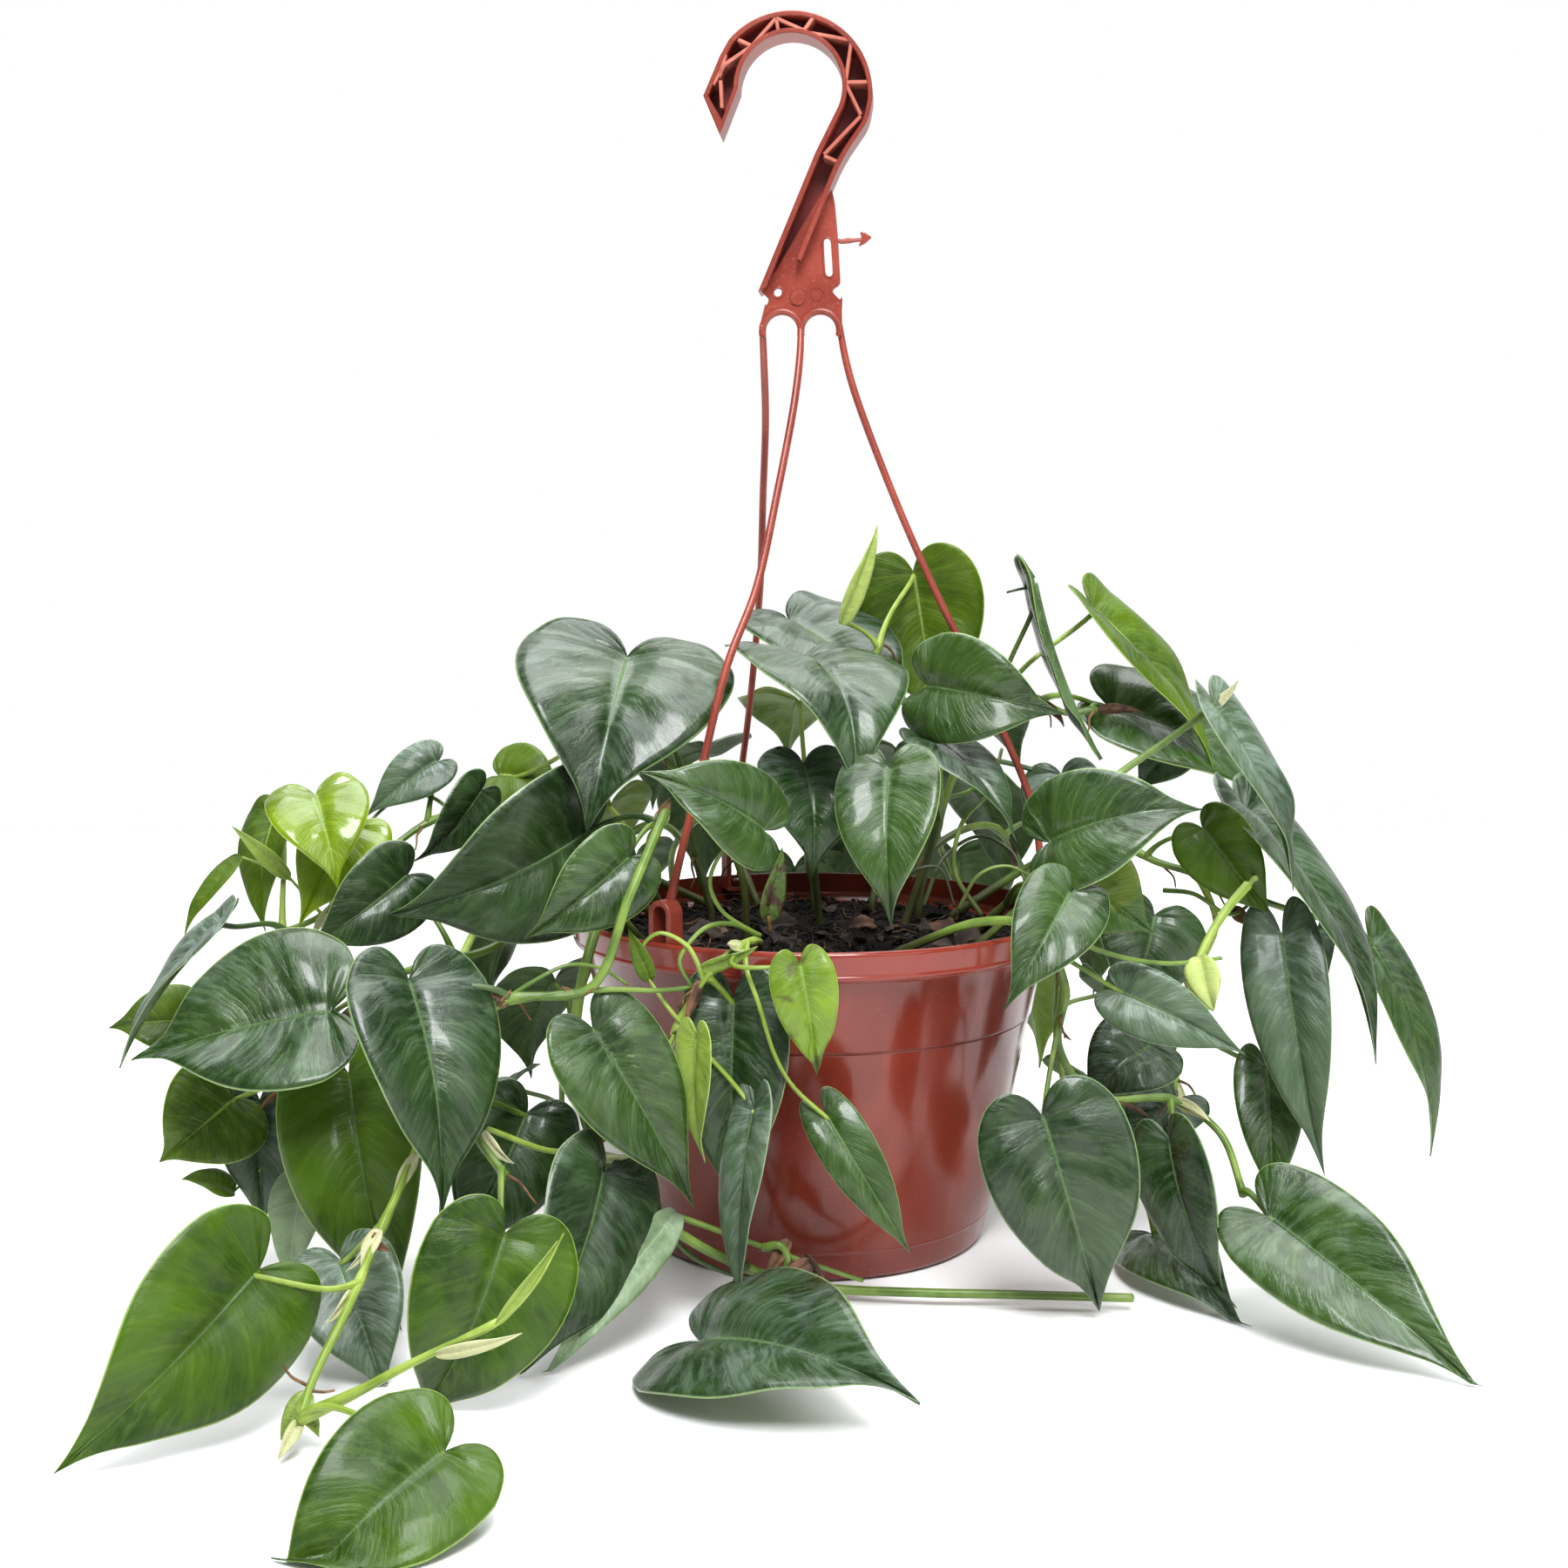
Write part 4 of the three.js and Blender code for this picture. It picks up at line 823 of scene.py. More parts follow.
def make_blade(
    skin, blade, tone, rng, outline=HEART, cup=1.0, ripple=1.0, thickness=BLADE_THICKNESS,
    ribs=LEAF_RIBS, rows=LEAF_ROWS,
):
    """A closed blade whose rows follow its veins, with pillows between them and a gently waved margin."""
    half = blade.half
    route = Route(lambda t: catmull(outline, t), 300)
    phases = [rng.uniform(0, 2 * pi) for _ in range(4)]
    waves = (rng.uniform(1.4, 2.2), rng.uniform(2.8, 3.8))
    skew = rng.uniform(-0.05, 0.05)
    depths = [rng.random() for _ in range(MAIN_VEINS)]
    seed = rng.uniform(0, 90)
    flat = []
    for hand in (1, -1):
        for i in range(ribs + 1):
            goal = route.at(i / ribs)
            middle = lerp(goal.z, goal.x, 0.28 if goal.x > 0 else 0.55)
            for j in range(rows + 1):
                r = j / rows
                along = (1 - r) ** 2 * goal.z + 2 * r * (1 - r) * middle + r**2 * goal.x
                across = (1.12 * r * (1 - r) + r**2) * goal.y
                flat.append((along, across * hand * (1 + skew * hand), i / ribs, r, hand))
    places = []
    for level in (1, -1):
        for along, across, s, r, hand in flat:
            lift = level * 0.5 * thickness * (1 - 0.55 * r**6)
            wave = sum(sin(2 * pi * k * s + phases[n + 1 - hand]) for n, k in enumerate(waves))
            lift += ripple * 0.022 * half * wave * r**2 * min(1.0, 6 * s) * min(1.0, 6 * (1 - s))
            if outline is HEART:
                depth = depths[min(MAIN_VEINS - 1, int(s * MAIN_VEINS))]
                veins = sin(pi * MAIN_VEINS * s) ** 2 * lerp(0.5, 1.0, depth)
                cover = min(1.0, 4 * r) * (1 - r**4) * sin(pi * s**0.8) ** 0.5
                swell = noise.noise(Vector((2.6 * along, 1.7 * across, seed))) * min(1.0, 5 * r)
                groove = 0.45 * exp(-((across * half / 0.9) ** 2))
                lift += 0.045 * half * veins * cover + 0.09 * half * swell - groove
            places.append(blade.point(along, across, lift, cup, REST_HEIGHT + max(0.0, -lift)))
    count, span = len(flat), rows + 1
    starts = [(side * (ribs + 1) + i) * span for side in (0, 1) for i in range(ribs)]
    top = [(a, a + 1, a + span + 1, a + span) for start in starts for a in range(start, start + rows)]
    rim = [(a + rows, a + rows + span, a + rows + span + count, a + rows + count) for a in starts]
    spots = [(0.5 + 0.5 * r * hand, s) for _, _, s, r, hand in flat] * 2
    corners = [tuple(spots[k] for k in face) for face in top + rim]
    under = tone if tone in BOTH_SIDES_ALIKE else "under_light" if tone in PALE_TONES else "under"
    skin.add(places, top + rim, corners, tone)
    skin.add([], [[k - count for k in face] for face in top], corners[:len(top)], under)


# The vines


def seen_blade(base, tip, wide, roll, arch):
    """A blade between places of the photo that faces the camera before it is rolled."""
    base = photo_point(base)
    return Blade(base, photo_point(tip), EYE - base, wide, roll, arch)


def leaf(base, tip, wide, start, roll, arch, tone, via=(), **extra):
    """A leaf between places of the photo, whose petiole leaves the stem at the part start of it."""
    blade = seen_blade(base, tip, wide, roll, arch)
    via = [photo_point(place) for place in via]
    return {"blade": blade, "start": start, "tone": tone, "via": via, **extra}


def twig(thick, tone, *places):
    """A thin stem, petiole or root through places of the photo."""
    return {"thick": thick, "tone": tone, "places": [photo_point(place) for place in places]}


def flap(base, tip, wide, tone, roll=0, arch=0.08, cup=2.0):
    """A sheath, a young leaf or a folded edge between places of the photo."""
    return {"blade": seen_blade(base, tip, wide, roll, arch), "tone": tone, "cup": cup}


def stem_curve(root, points):
    """The stem from its root at the soil through the points."""
    return through([Vector((*root, SOIL_TOP + 4)), *points])


def petiole_route(blade, start, via):
    """From the stem to just inside the blade, through the given places or else in one bend."""
    end = blade.point(0, 0, -0.5).lerp(blade.point(0.3, 0, -0.5), 0.1)
    if via:
        return through([start, *via, end])
    ahead = end - start
    reach = ahead.length
    leave = start + ahead * 0.25
    leave.z += (0.22 if ahead.z > -0.4 * reach else 0.05) * reach
    return bezier(start, leave, end - ahead * 0.25 - blade.normal * (0.16 * reach), end)


def make_vine(name, root, thick, points, leaves, extras=(), stem="stem"):
    """A vine's leaves and petioles, its small parts, its stem, and the roots and sheaths at its nodes."""
    rng = random.Random(name)
    skin = Skin()
    curve = stem_curve(root, points)
    steps = max(1, floor(curve.length / STEM_STEP + 0.5))
    radius = thick / 2
    nodes = []
    for order, one in enumerate(leaves):
        blade, tone, shoot = one["blade"], one["tone"], one.get("shoot", False)
        step = max(1, floor(one["start"] * steps + 0.5))
        nodes.append(step / steps)
        start = curve.at(step / steps).lerp(curve.at((step - 1) / steps), (0.5 + 0.6 * order) / STEM_STEP)
        if "petiole_start" in one:
            start = curve.at(one["petiole_start"])
        if shoot:
            make_blade(skin, blade, tone, rng, LANCE, 2.6, 0.3, 0.8, 20, 5)
        else:
            make_blade(skin, blade, tone, rng, ripple=one.get("ripple", 1.0))
        pale = tone in PALE_TONES
        green = "stem_lime"
        if not pale and stem != green:
            green = "stem_dark" if rng.random() < DARK_CHANCE else "stem"
        size = one.get("petiole", 0.9 if shoot else 1.12)
        path = petiole_route(blade, start, one["via"]).points(PETIOLE_RINGS)
        sweep(skin, path, lambda part: size * (1 + 0.75 * (1 - part) ** 6 + 0.12 * part**8), 10, green, 0.85)
        if not shoot:
            ridge = [blade.point(0.03 + 0.87 * k / 12, 0, -0.62) for k in range(13)]
            sweep(skin, ridge, lambda part: 1.05 * (1 - part) + 0.22, 6, "under_light" if pale else "under")
    for extra in extras:
        if "places" in extra:
            size = extra["thick"]
            ends = size if isinstance(size, tuple) else (size, 0.65 * size)
            path = through(extra["places"]).points(TWIG_RINGS)
            sweep(skin, path, lambda part: lerp(*ends, part), 8, extra["tone"])
        else:
            make_blade(skin, extra["blade"], extra["tone"], rng, LANCE, extra["cup"], 1.4, 0.5, 20, 5)

    def girth(part):
        swell = sum(exp(-(((part - node) * curve.length / 3.2) ** 2)) for node in nodes)
        return 0.78 * radius * (1 - 0.22 * part) * (1 + 0.3 * min(1.0, swell))

    foot = [Vector((*root, z)) for z in (SOIL_TOP - 8, SOIL_TOP - 2)]
    sweep(skin, foot + curve.points(STEM_RINGS), girth, 12, stem)
    for node in nodes:
        if rng.random() < ROOT_CHANCE:
            make_aerial_root(skin, curve.at(node), radius, rng)
        if rng.random() < SHEATH_CHANCE:
            make_sheath(skin, curve, node, radius, rng)
    piece = skin.make(name + "_dressed")
    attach(piece, "root")
    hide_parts(name)


def make_aerial_root(skin, start, radius, rng):
    """A thin brown root that leaves a node and hangs."""
    angle = rng.uniform(0, 2 * pi)
    aside = Vector((cos(angle), sin(angle), 0))
    long = rng.uniform(7, 18)
    points = [start + aside * (0.5 * radius)]
    for part in (0.25, 0.5, 0.75, 1.0):
        sway = Vector((rng.uniform(-1, 1), rng.uniform(-1, 1), -0.75 * long * part**1.6))
        place = start + aside * (radius + 0.6 * long * part) + sway
        place.z = max(place.z, 1.2)
        points.append(place)
    sweep(skin, through(points).points(TWIG_RINGS), lambda part: 0.75 - 0.45 * part, 6, "root")


def make_sheath(skin, curve, node, radius, rng):
    """A pale papery sheath that stands away from a node."""
    base = curve.at(node)
    ahead = (curve.at(min(1.0, node + 0.03)) - curve.at(max(0.0, node - 0.03))).normalized()
    aside = Matrix.Rotation(rng.uniform(0, 2 * pi), 3, ahead) @ ahead.orthogonal().normalized()
    tip = base + ahead * rng.uniform(12, 20) + aside * rng.uniform(4, 8)
    tip.z = max(tip.z, 2)
    blade = Blade(base + aside * (0.4 * radius), tip, aside, rng.uniform(4.5, 6.5), 180, 0.06)
    tone = "sheath" if rng.random() < 0.6 else "dry"
    make_blade(skin, blade, tone, rng, LANCE, 2.2, 0.6, 0.35, 14, 4)


def seen_vine(name, root, thick, route, *parts, stem="stem"):
    """A vine whose stem and parts run through places of the photo: leaves, twigs and flaps."""
    leaves = [part for part in parts if "start" in part]
    extras = [part for part in parts if "start" not in part]
    make_vine("vine_" + name, root, thick, [photo_point(place) for place in route], leaves, extras, stem)


# The vines behind the pot, by the same rule and draws as in the part's source
HIDDEN_COUNT = 5
HIDDEN_LEAVES = 5
HIDDEN_AZIMUTHS = (126, 232)
HIDDEN_ROOT_RADIUS = 56
HIDDEN_REACH = 160
HIDDEN_SEED = 11
HIDDEN_HEIGHTS = ((0.44, 153, 3), (0.62, 163, -3), (0.8, 142, 4), (0.9, 100, -4), (0.96, 58, 4), (1.0, 22, 0))
HIDDEN_TONES = ("mid", "deep", "sheen_grey", "mid", "olive", "deep", "bright")


def seeded(seed):
    """Numbers from 0 to 1 by the rule of the part's source."""
    while True:
        seed = (seed * 1664525 + 1013904223) % 4294967296
        yield seed / 4294967296


def hidden_vine(order, draws):
    azimuth = radians(lerp(*HIDDEN_AZIMUTHS, order / (HIDDEN_COUNT - 1)))
    outward = Vector((sin(azimuth), -cos(azimuth), 0))
    sideways = Vector((cos(azimuth), sin(azimuth), 0))
    even = order % 2 == 0
    reach = HIDDEN_REACH * (0.92 if even else 1.1) + 6 * next(draws)
    points = []
    for part, z, sway in HIDDEN_HEIGHTS:
        points.append(outward * (part * reach) + sideways * sway + Vector((0, 0, z)))
    root = tuple(HIDDEN_ROOT_RADIUS * outward.xy)
    curve = stem_curve(root, points)
    leaves = []
    for i in range(HIDDEN_LEAVES):
        start = 0.12 + 0.88 * i / (HIDDEN_LEAVES - 1)
        hand = 1 if i % 2 == 0 else -1
        raised = i == 0
        out = (12 if even else 22) if raised else 18 + 6 * next(draws)
        aside = hand * (4 if raised else 10 + 4 * next(draws))
        base = curve.at(start) + outward * out + sideways * aside
        base.z += (64 if even else 44) if raised else 14
        length = 58 + 16 * next(draws)
        tip = base + outward * ((0.8 if raised else 0.4) * length) + sideways * (hand * 0.1 * length)
        tip.z = max(tip.z - (0.5 if raised else 0.9) * length, 2)
        facing = outward + sideways * (0.2 * hand)
        facing.z = 1.6 if raised else 0.7
        blade = Blade(base, tip, facing, 50 + 10 * next(draws), 0, 0.12)
        tone = HIDDEN_TONES[(order * 3 + i) % len(HIDDEN_TONES)]
        leaves.append({"blade": blade, "start": start, "tone": tone, "via": ()})
    make_vine(f"vine_back_{order + 1}", root, 4.4, points, leaves)


# The soil

SOIL_SEED = 5
SOIL_RINGS = 46
SOIL_SIDES = 150
CRUMBS = 3000
BIG_CRUMBS = 460
FIBRES = 300
FLAKES = 34
FIBRE_TONES = ("fibre", "dry", "fibre", "root")


def icosphere(subdivisions):
    ball = bmesh.new()
    bmesh.ops.create_icosphere(ball, subdivisions=subdivisions, radius=1.0)
    places = [vert.co.copy() for vert in ball.verts]
    faces = [[vert.index for vert in face.verts] for face in ball.faces]
    ball.free()
    return places, faces


def soil_height(x, y):
    relief = sin(x * 0.19 + 1) * cos(y * 0.23) + 0.5 * sin(x * 0.41 - y * 0.37)
    rough = noise.fractal(Vector((x * 0.11, y * 0.11, 3.0)), 1.0, 2.0, 4) * 1.5
    grain = noise.fractal(Vector((x * 0.55, y * 0.55, 9.0)), 0.8, 2.0, 3) * 0.8
    return SOIL_TOP + SOIL_RELIEF * relief + rough + grain


def make_soil():
    """A rough plug that is closed below, with crumbs, fibres and dry flakes on it."""
    rng = random.Random(SOIL_SEED)
    skin = Skin()
    rim = inner_radius(SOIL_TOP) - GAP

    def spot(inset, start=0, end=2 * pi):
        """A random place on the soil, inset from the rim."""
        angle = rng.uniform(start, end)
        radius = (rim - inset) * sqrt(rng.random())
        return radius * cos(angle), radius * sin(angle)

    places = [Vector((0, 0, soil_height(0, 0)))]
    for ring in range(1, SOIL_RINGS + 1):
        part = ring / SOIL_RINGS
        for place in circle(rim * part**0.85, 0, SOIL_SIDES, 0.5 * (ring % 2)):
            place.z = soil_height(place.x, place.y) - 3.0 * part**14
            places.append(place)
    places += circle(rim - 1.2, SOIL_TOP - 12, SOIL_SIDES)
    places += circle(inner_radius(BASE_THICKNESS) - 2, BASE_THICKNESS + 2, SOIL_SIDES)
    faces = [(0, 1 + side, 1 + (side + 1) % SOIL_SIDES) for side in range(SOIL_SIDES)]
    faces += [[1 + i for i in face] for face in ring_faces(range(SOIL_RINGS + 2), SOIL_SIDES)[0]]
    faces.append(range(len(places) - SOIL_SIDES, len(places)))
    skin.lay(places, faces, "soil")
    fine, coarse = icosphere(1), icosphere(2)
    for number in range(CRUMBS):
        big = number < BIG_CRUMBS
        x, y = spot(2.5)
        size = rng.uniform(1.0, 2.4) if big else rng.uniform(0.4, 1.1)
        scale = [size * rng.uniform(*ends) for ends in ((0.7, 1.3), (0.7, 1.3), (0.5, 0.9))]
        turn = Matrix.Rotation(rng.uniform(0, 6.28), 3, "Z") @ Matrix.Rotation(rng.uniform(-0.6, 0.6), 3, "X")
        centre = Vector((x, y, soil_height(x, y) + 0.25 * size))
        seed = Vector((number * 1.7, number * 0.3, 0))
        shape, shell = coarse if big else fine
        lump = []
        for place in shape:
            bulge = 1 + 0.45 * noise.noise(place * 1.9 + seed)
            lump.append(centre + turn @ Vector(a * b * bulge for a, b in zip(place, scale)))
        skin.lay(lump, shell, "soil")
    for number in range(FIBRES):
        x, y = spot(9)
        heading = rng.uniform(0, 2 * pi)
        long = rng.uniform(4, 13)
        points = []
        for part in (0.0, 0.25, 0.5, 0.75, 1.0):
            px = x + cos(heading) * long * part + rng.uniform(-0.8, 0.8)
            py = y + sin(heading) * long * part + rng.uniform(-0.8, 0.8)
            if hypot(px, py) > rim - 2:
                break
            points.append(Vector((px, py, soil_height(px, py) + 0.8 + rng.uniform(0, 1.0))))
        if len(points) > 2:
            thick = rng.uniform(0.16, 0.36)
            sweep(skin, through(points).points(TWIG_RINGS), thick, 5, FIBRE_TONES[number % 4])
    for number in range(FLAKES):
        x, y = spot(16, -pi, 0.3) if number % 2 else spot(16)
        base = Vector((x, y, soil_height(x, y) + 1.6))
        heading = rng.uniform(0, 2 * pi)
        long = rng.uniform(7, 17)
        tip = base + Vector((cos(heading) * long, sin(heading) * long, rng.uniform(-1, 0.3 * long)))
        if hypot(tip.x, tip.y) > rim - 6:
            continue
        tip.z = max(tip.z, soil_height(tip.x, tip.y) + 0.8)
        wide, roll, arch = long * rng.uniform(0.4, 0.9), rng.uniform(-40, 40), rng.uniform(0, 0.2)
        tone = "fibre" if number % 4 else "dry"
        blade = Blade(base, tip, Vector((0, 0, 1)), wide, roll, arch)
        make_blade(skin, blade, tone, rng, LANCE, rng.uniform(-3, 3), 5.0, 0.5, 14, 5)
    return skin.make("soil_dressed")


# The studio

FLOOR_REACH = 1.3
AIM = Vector((0, 0, 0.18))
SENSOR = 36


def make_studio():
    sheet = bpy.data.meshes.new("floor")
    signs = ((-1, -1), (1, -1), (1, 1), (-1, 1))
    sheet.from_pydata([(x * FLOOR_REACH, y * FLOOR_REACH, 0) for x, y in signs], [], [(0, 1, 2, 3)])
    sheet.materials.append(floor_material())
    placed("floor", sheet)
    for name, place, reach, power, colour in (
        ("key", (0.15, -1.5, 2.05), 1.0, 76, (0.97, 0.985, 1.0)),
        ("fill", (1.7, -1.7, 1.2), 1.5, 13, (1.0, 0.99, 0.97)),
        ("top", (0.2, 0.5, 2.6), 2.2, 80, (0.97, 0.98, 1.0)),
    ):
        data = bpy.data.lights.new(name, "AREA")
        data.energy = power
        data.shape = "RECTANGLE"
        data.size = data.size_y = reach
        data.color = colour
        lamp = placed(name, data)
        lamp.location = place
        lamp.rotation_euler = (AIM - Vector(place)).to_track_quat("-Z", "Y").to_euler()
    world = bpy.data.worlds.new("studio")
    world.use_nodes = True
    tree = world.node_tree
    deep = add_node(tree, "SeparateXYZ", {0: add_node(tree, "TexCoord")["Generated"]})[1]
    light = tree.nodes["Background"].inputs
    tree.links.new(smooth(tree, deep, 0.4, 0.85, 0.2, 1.0), light["Strength"])
    light["Color"].default_value = (1.0, 1.0, 1.0, 1.0)
    scene = bpy.context.scene
    scene.world = world
    scene.view_settings.view_transform = "Standard"
    data = bpy.data.cameras.new("camera")
    data.sensor_width = SENSOR
    data.lens = SENSOR * FOCAL / (2 * CENTRE)
    scene.camera = placed("camera", data)
    scene.camera.location = EYE * MM
    scene.camera.rotation_euler = (pi / 2 - PITCH, 0, 0)


make_studio()
pot = make_pot()
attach(pot, "root")
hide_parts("pot")
hanger = make_hanger()
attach(hanger, "root")
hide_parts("hanger")
soil = make_soil()
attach(soil, "root")
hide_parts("soil")

# The vines that the camera saw, with the tone of each leaf. A few leaves are bent or moved from
# where the part's source has them
seen_vine(
    "crown_left", (-28, -14), 4.2,
    ((850, 1000, -20), (812, 930, -24), (772, 880, -30), (735, 850, -36)),
    leaf((720, 754, -18), (673, 957, -71), 86, 0.8, 4, 0.14, "deep"),
    leaf((877, 953, -82), (733, 886, -98), 38, 0.45, 27, 0.12, "mid"),
    leaf((922, 877, -40), (932, 1007, -54), 43, 0.5, -18, 0.18, "deep"),
    leaf((572, 890, 32), (652, 912, 24), 34, 1, -30, 0.12, "bright"),
)
seen_vine(
    "crown_centre", (2, 18), 4.2,
    ((935, 960, 15), (958, 880, 12), (985, 800, 10), (1010, 740, 14)),
    leaf((919, 761, -18), (984, 921, -74), 70, 0.7, -34, 0.24, "deep"),
    leaf((906, 712, 34), (1050, 822, 0), 68, 0.8, -55, 0.05, "deep"),
    leaf((965, 716, -4), (1007, 603, -6), 9, 0.95, 30, 0.04, "bud", shoot=True),
    leaf((1048, 655, 42), (1078, 846, 36), 55, 1, 3, -0.06, "bright"),
    leaf((1021, 881, -72), (1023, 1066, -92), 40, 0.45, 10, 0.14, "mid"),
)
seen_vine(
    "crown_right", (38, 8), 4.4,
    ((1070, 970, 10), (1095, 890, 14), (1130, 830, 18), (1180, 800, 22), (1222, 818, 24), (1258, 815, 26)),
    leaf((1066, 788, -18), (1222, 820, -34), 45, 0.4, -4, 0.16, "mid"),
    leaf((1185, 664, 8), (1264, 872, 2), 40, 0.6, 86, 0.04, "mid"),
    leaf((1253, 696, 38), (1399, 890, 27), 50, 0.72, -70, 0.06, "bright"),
    leaf((1274, 812, 48), (1486, 938, 46), 54, 1, -50, 0.1, "mid"),
    leaf((1062, 850, -22), (1169, 964, -46), 35, 0.25, -58, 0.1, "deep"),
    leaf((1218, 888, 14), (1232, 985, 6), 34, 0.5, 10, 0.1, "sheen_grey"),
    leaf((1352, 850, 64), (1302, 910, 60), 26, 0.9, 0, 0.1, "sheen_grey"),
    twig(0.7, "stem_dark", (1188, 674, 8), (1172, 676, 8), (1156, 680, 8)),
    twig(0.6, "stem_dark", (1176, 676, 8), (1180, 666, 8), (1184, 656, 8)),
    twig(1.1, "stem", (1126, 1050, -40), (1096, 1000, -36), (1104, 946, -30), (1136, 908, -20),
         (1150, 860, -4)),
    twig(0.9, "stem_dark", (1060, 1040, -30), (1084, 984, -24), (1124, 960, -20), (1160, 976, -24),
         (1176, 1010, -36)),
    twig(0.8, "stem", (1100, 1044, -50), (1124, 1004, -50), (1156, 994, -50), (1190, 1010, -52)),
    twig(0.7, "stem_dark", (1020, 1036, -30), (1050, 1000, -30), (1078, 996, -30), (1096, 1040, -34)),
)
seen_vine(
    "right_high", (66, -16), 4.4,
    ((1200, 990, -40), (1240, 925, -44), (1288, 886, -40), (1340, 850, -38), (1385, 818, -40)),
    leaf((1204, 967, -78), (1382, 928, -90), 47, 0.3, -23, 0.16, "mid"),
    leaf((1240, 1010, -66), (1325, 1072, -78), 36, 0.25, 0, 0.08, "edged"),
    leaf((1229, 1024, -100), (1153, 1160, -122), 33, 0.2, 0, 0.14, "mid"),
    leaf((1392, 810, -44), (1486, 1022, -60), 38, 1, -66, 0.08, "sheen_grey"),
)
seen_vine(
    "right", (58, 20), 4.6,
    ((1190, 990, 24), (1262, 960, 16), (1330, 990, 4), (1400, 1010, -2), (1440, 1030, 2), (1500, 1050, 8),
     (1555, 1060, 12)),
    leaf((1428, 930, 6), (1581, 1222, -40), 50, 0.72, -66, 0.1, "deep", via=((1410, 970, 4),)),
    leaf((1380, 950, -14), (1461, 1054, -18), 32, 0.5, 0, 0.08, "olive"),
    leaf((1572, 1080, 16), (1643, 1328, 6), 34, 1, -56, 0.1, "mid"),
    leaf((1471, 1072, -22), (1521, 1352, -42), 34, 0.82, 8, 0.1, "sheen_grey"),
    leaf((1379, 1102, -6), (1393, 1161, -8), 16, 0.66, 20, 0.1, "bud", shoot=True, petiole=1.5,
         via=((1396, 1060, -4),)),
    leaf((1512, 1066, 36), (1508, 1196, 32), 22, 0.94, 30, 0.1, "sheen_grey"),
    flap((1416, 1042, 0), (1436, 1062, -2), 6, "root", 10, 0.12),
    twig(1.3, "stem_lime", (1440, 1030, 2), (1442, 1008, -24), (1430, 1020, -56)),
    twig((2.0, 1.5), "stem_lime", (1432, 1016, -54), (1408, 1044, -62), (1388, 1076, -68),
         (1374, 1106, -72)),
    flap((1376, 1098, -73), (1394, 1160, -77), 13, "bud", 10, 0.1),
    twig(1.2, "stem", (1186, 1066, -87), (1232, 1080, -84), (1284, 1098, -80), (1340, 1106, -76),
         (1402, 1100, -70)),
    twig(1.1, "stem", (1336, 1022, 2), (1370, 1026, -4), (1412, 1050, -4), (1440, 1034, 2)),
)
seen_vine(
    "right_low", (30, -62), 4.6,
    ((1128, 1058, -76), (1186, 1066, -87), (1222, 1130, -84), (1215, 1200, -86), (1260, 1260, -78),
     (1345, 1262, -72), (1400, 1300, -78), (1428, 1372, -96)),
    leaf((1196, 1280, -112), (1261, 1503, -108), 56, 0.46, -4, 0.12, "deep"),
    leaf((1342, 1309, -90), (1419, 1503, -100), 36, 0.78, 41, 0.1, "deep"),
    leaf((1456, 1396, -112), (1704, 1600, -172), 48, 1, -12, 0.06, "mid"),
    leaf((1322, 1416, -48), (1436, 1538, -118), 38, 0.7, -10, 0.16, "deep"),
    leaf((1286, 1138, -74), (1431, 1211, -84), 27, 0.3, -8, 0.1, "sheen_grey", petiole=0.95),
)
seen_vine(
    "right_side", (64, -42), 4.2,
    ((1198, 1028, -41), (1240, 1046, -36), (1290, 1090, -22), (1330, 1160, -16), (1350, 1240, -14)),
    leaf((1326, 1050, -30), (1290, 1166, -36), 46, 0.5, -20, 0.1, "deep"),
    leaf((1322, 1200, -30), (1240, 1268, -40), 38, 0.8, 20, 0.12, "deep"),
    leaf((1453, 1222, -14), (1462, 1395, -33), 28, 0.9, -5, 0.1, "mid"),
    leaf((1352, 1262, -22), (1292, 1345, -44), 32, 1, 20, 0.1, "deep"),
)
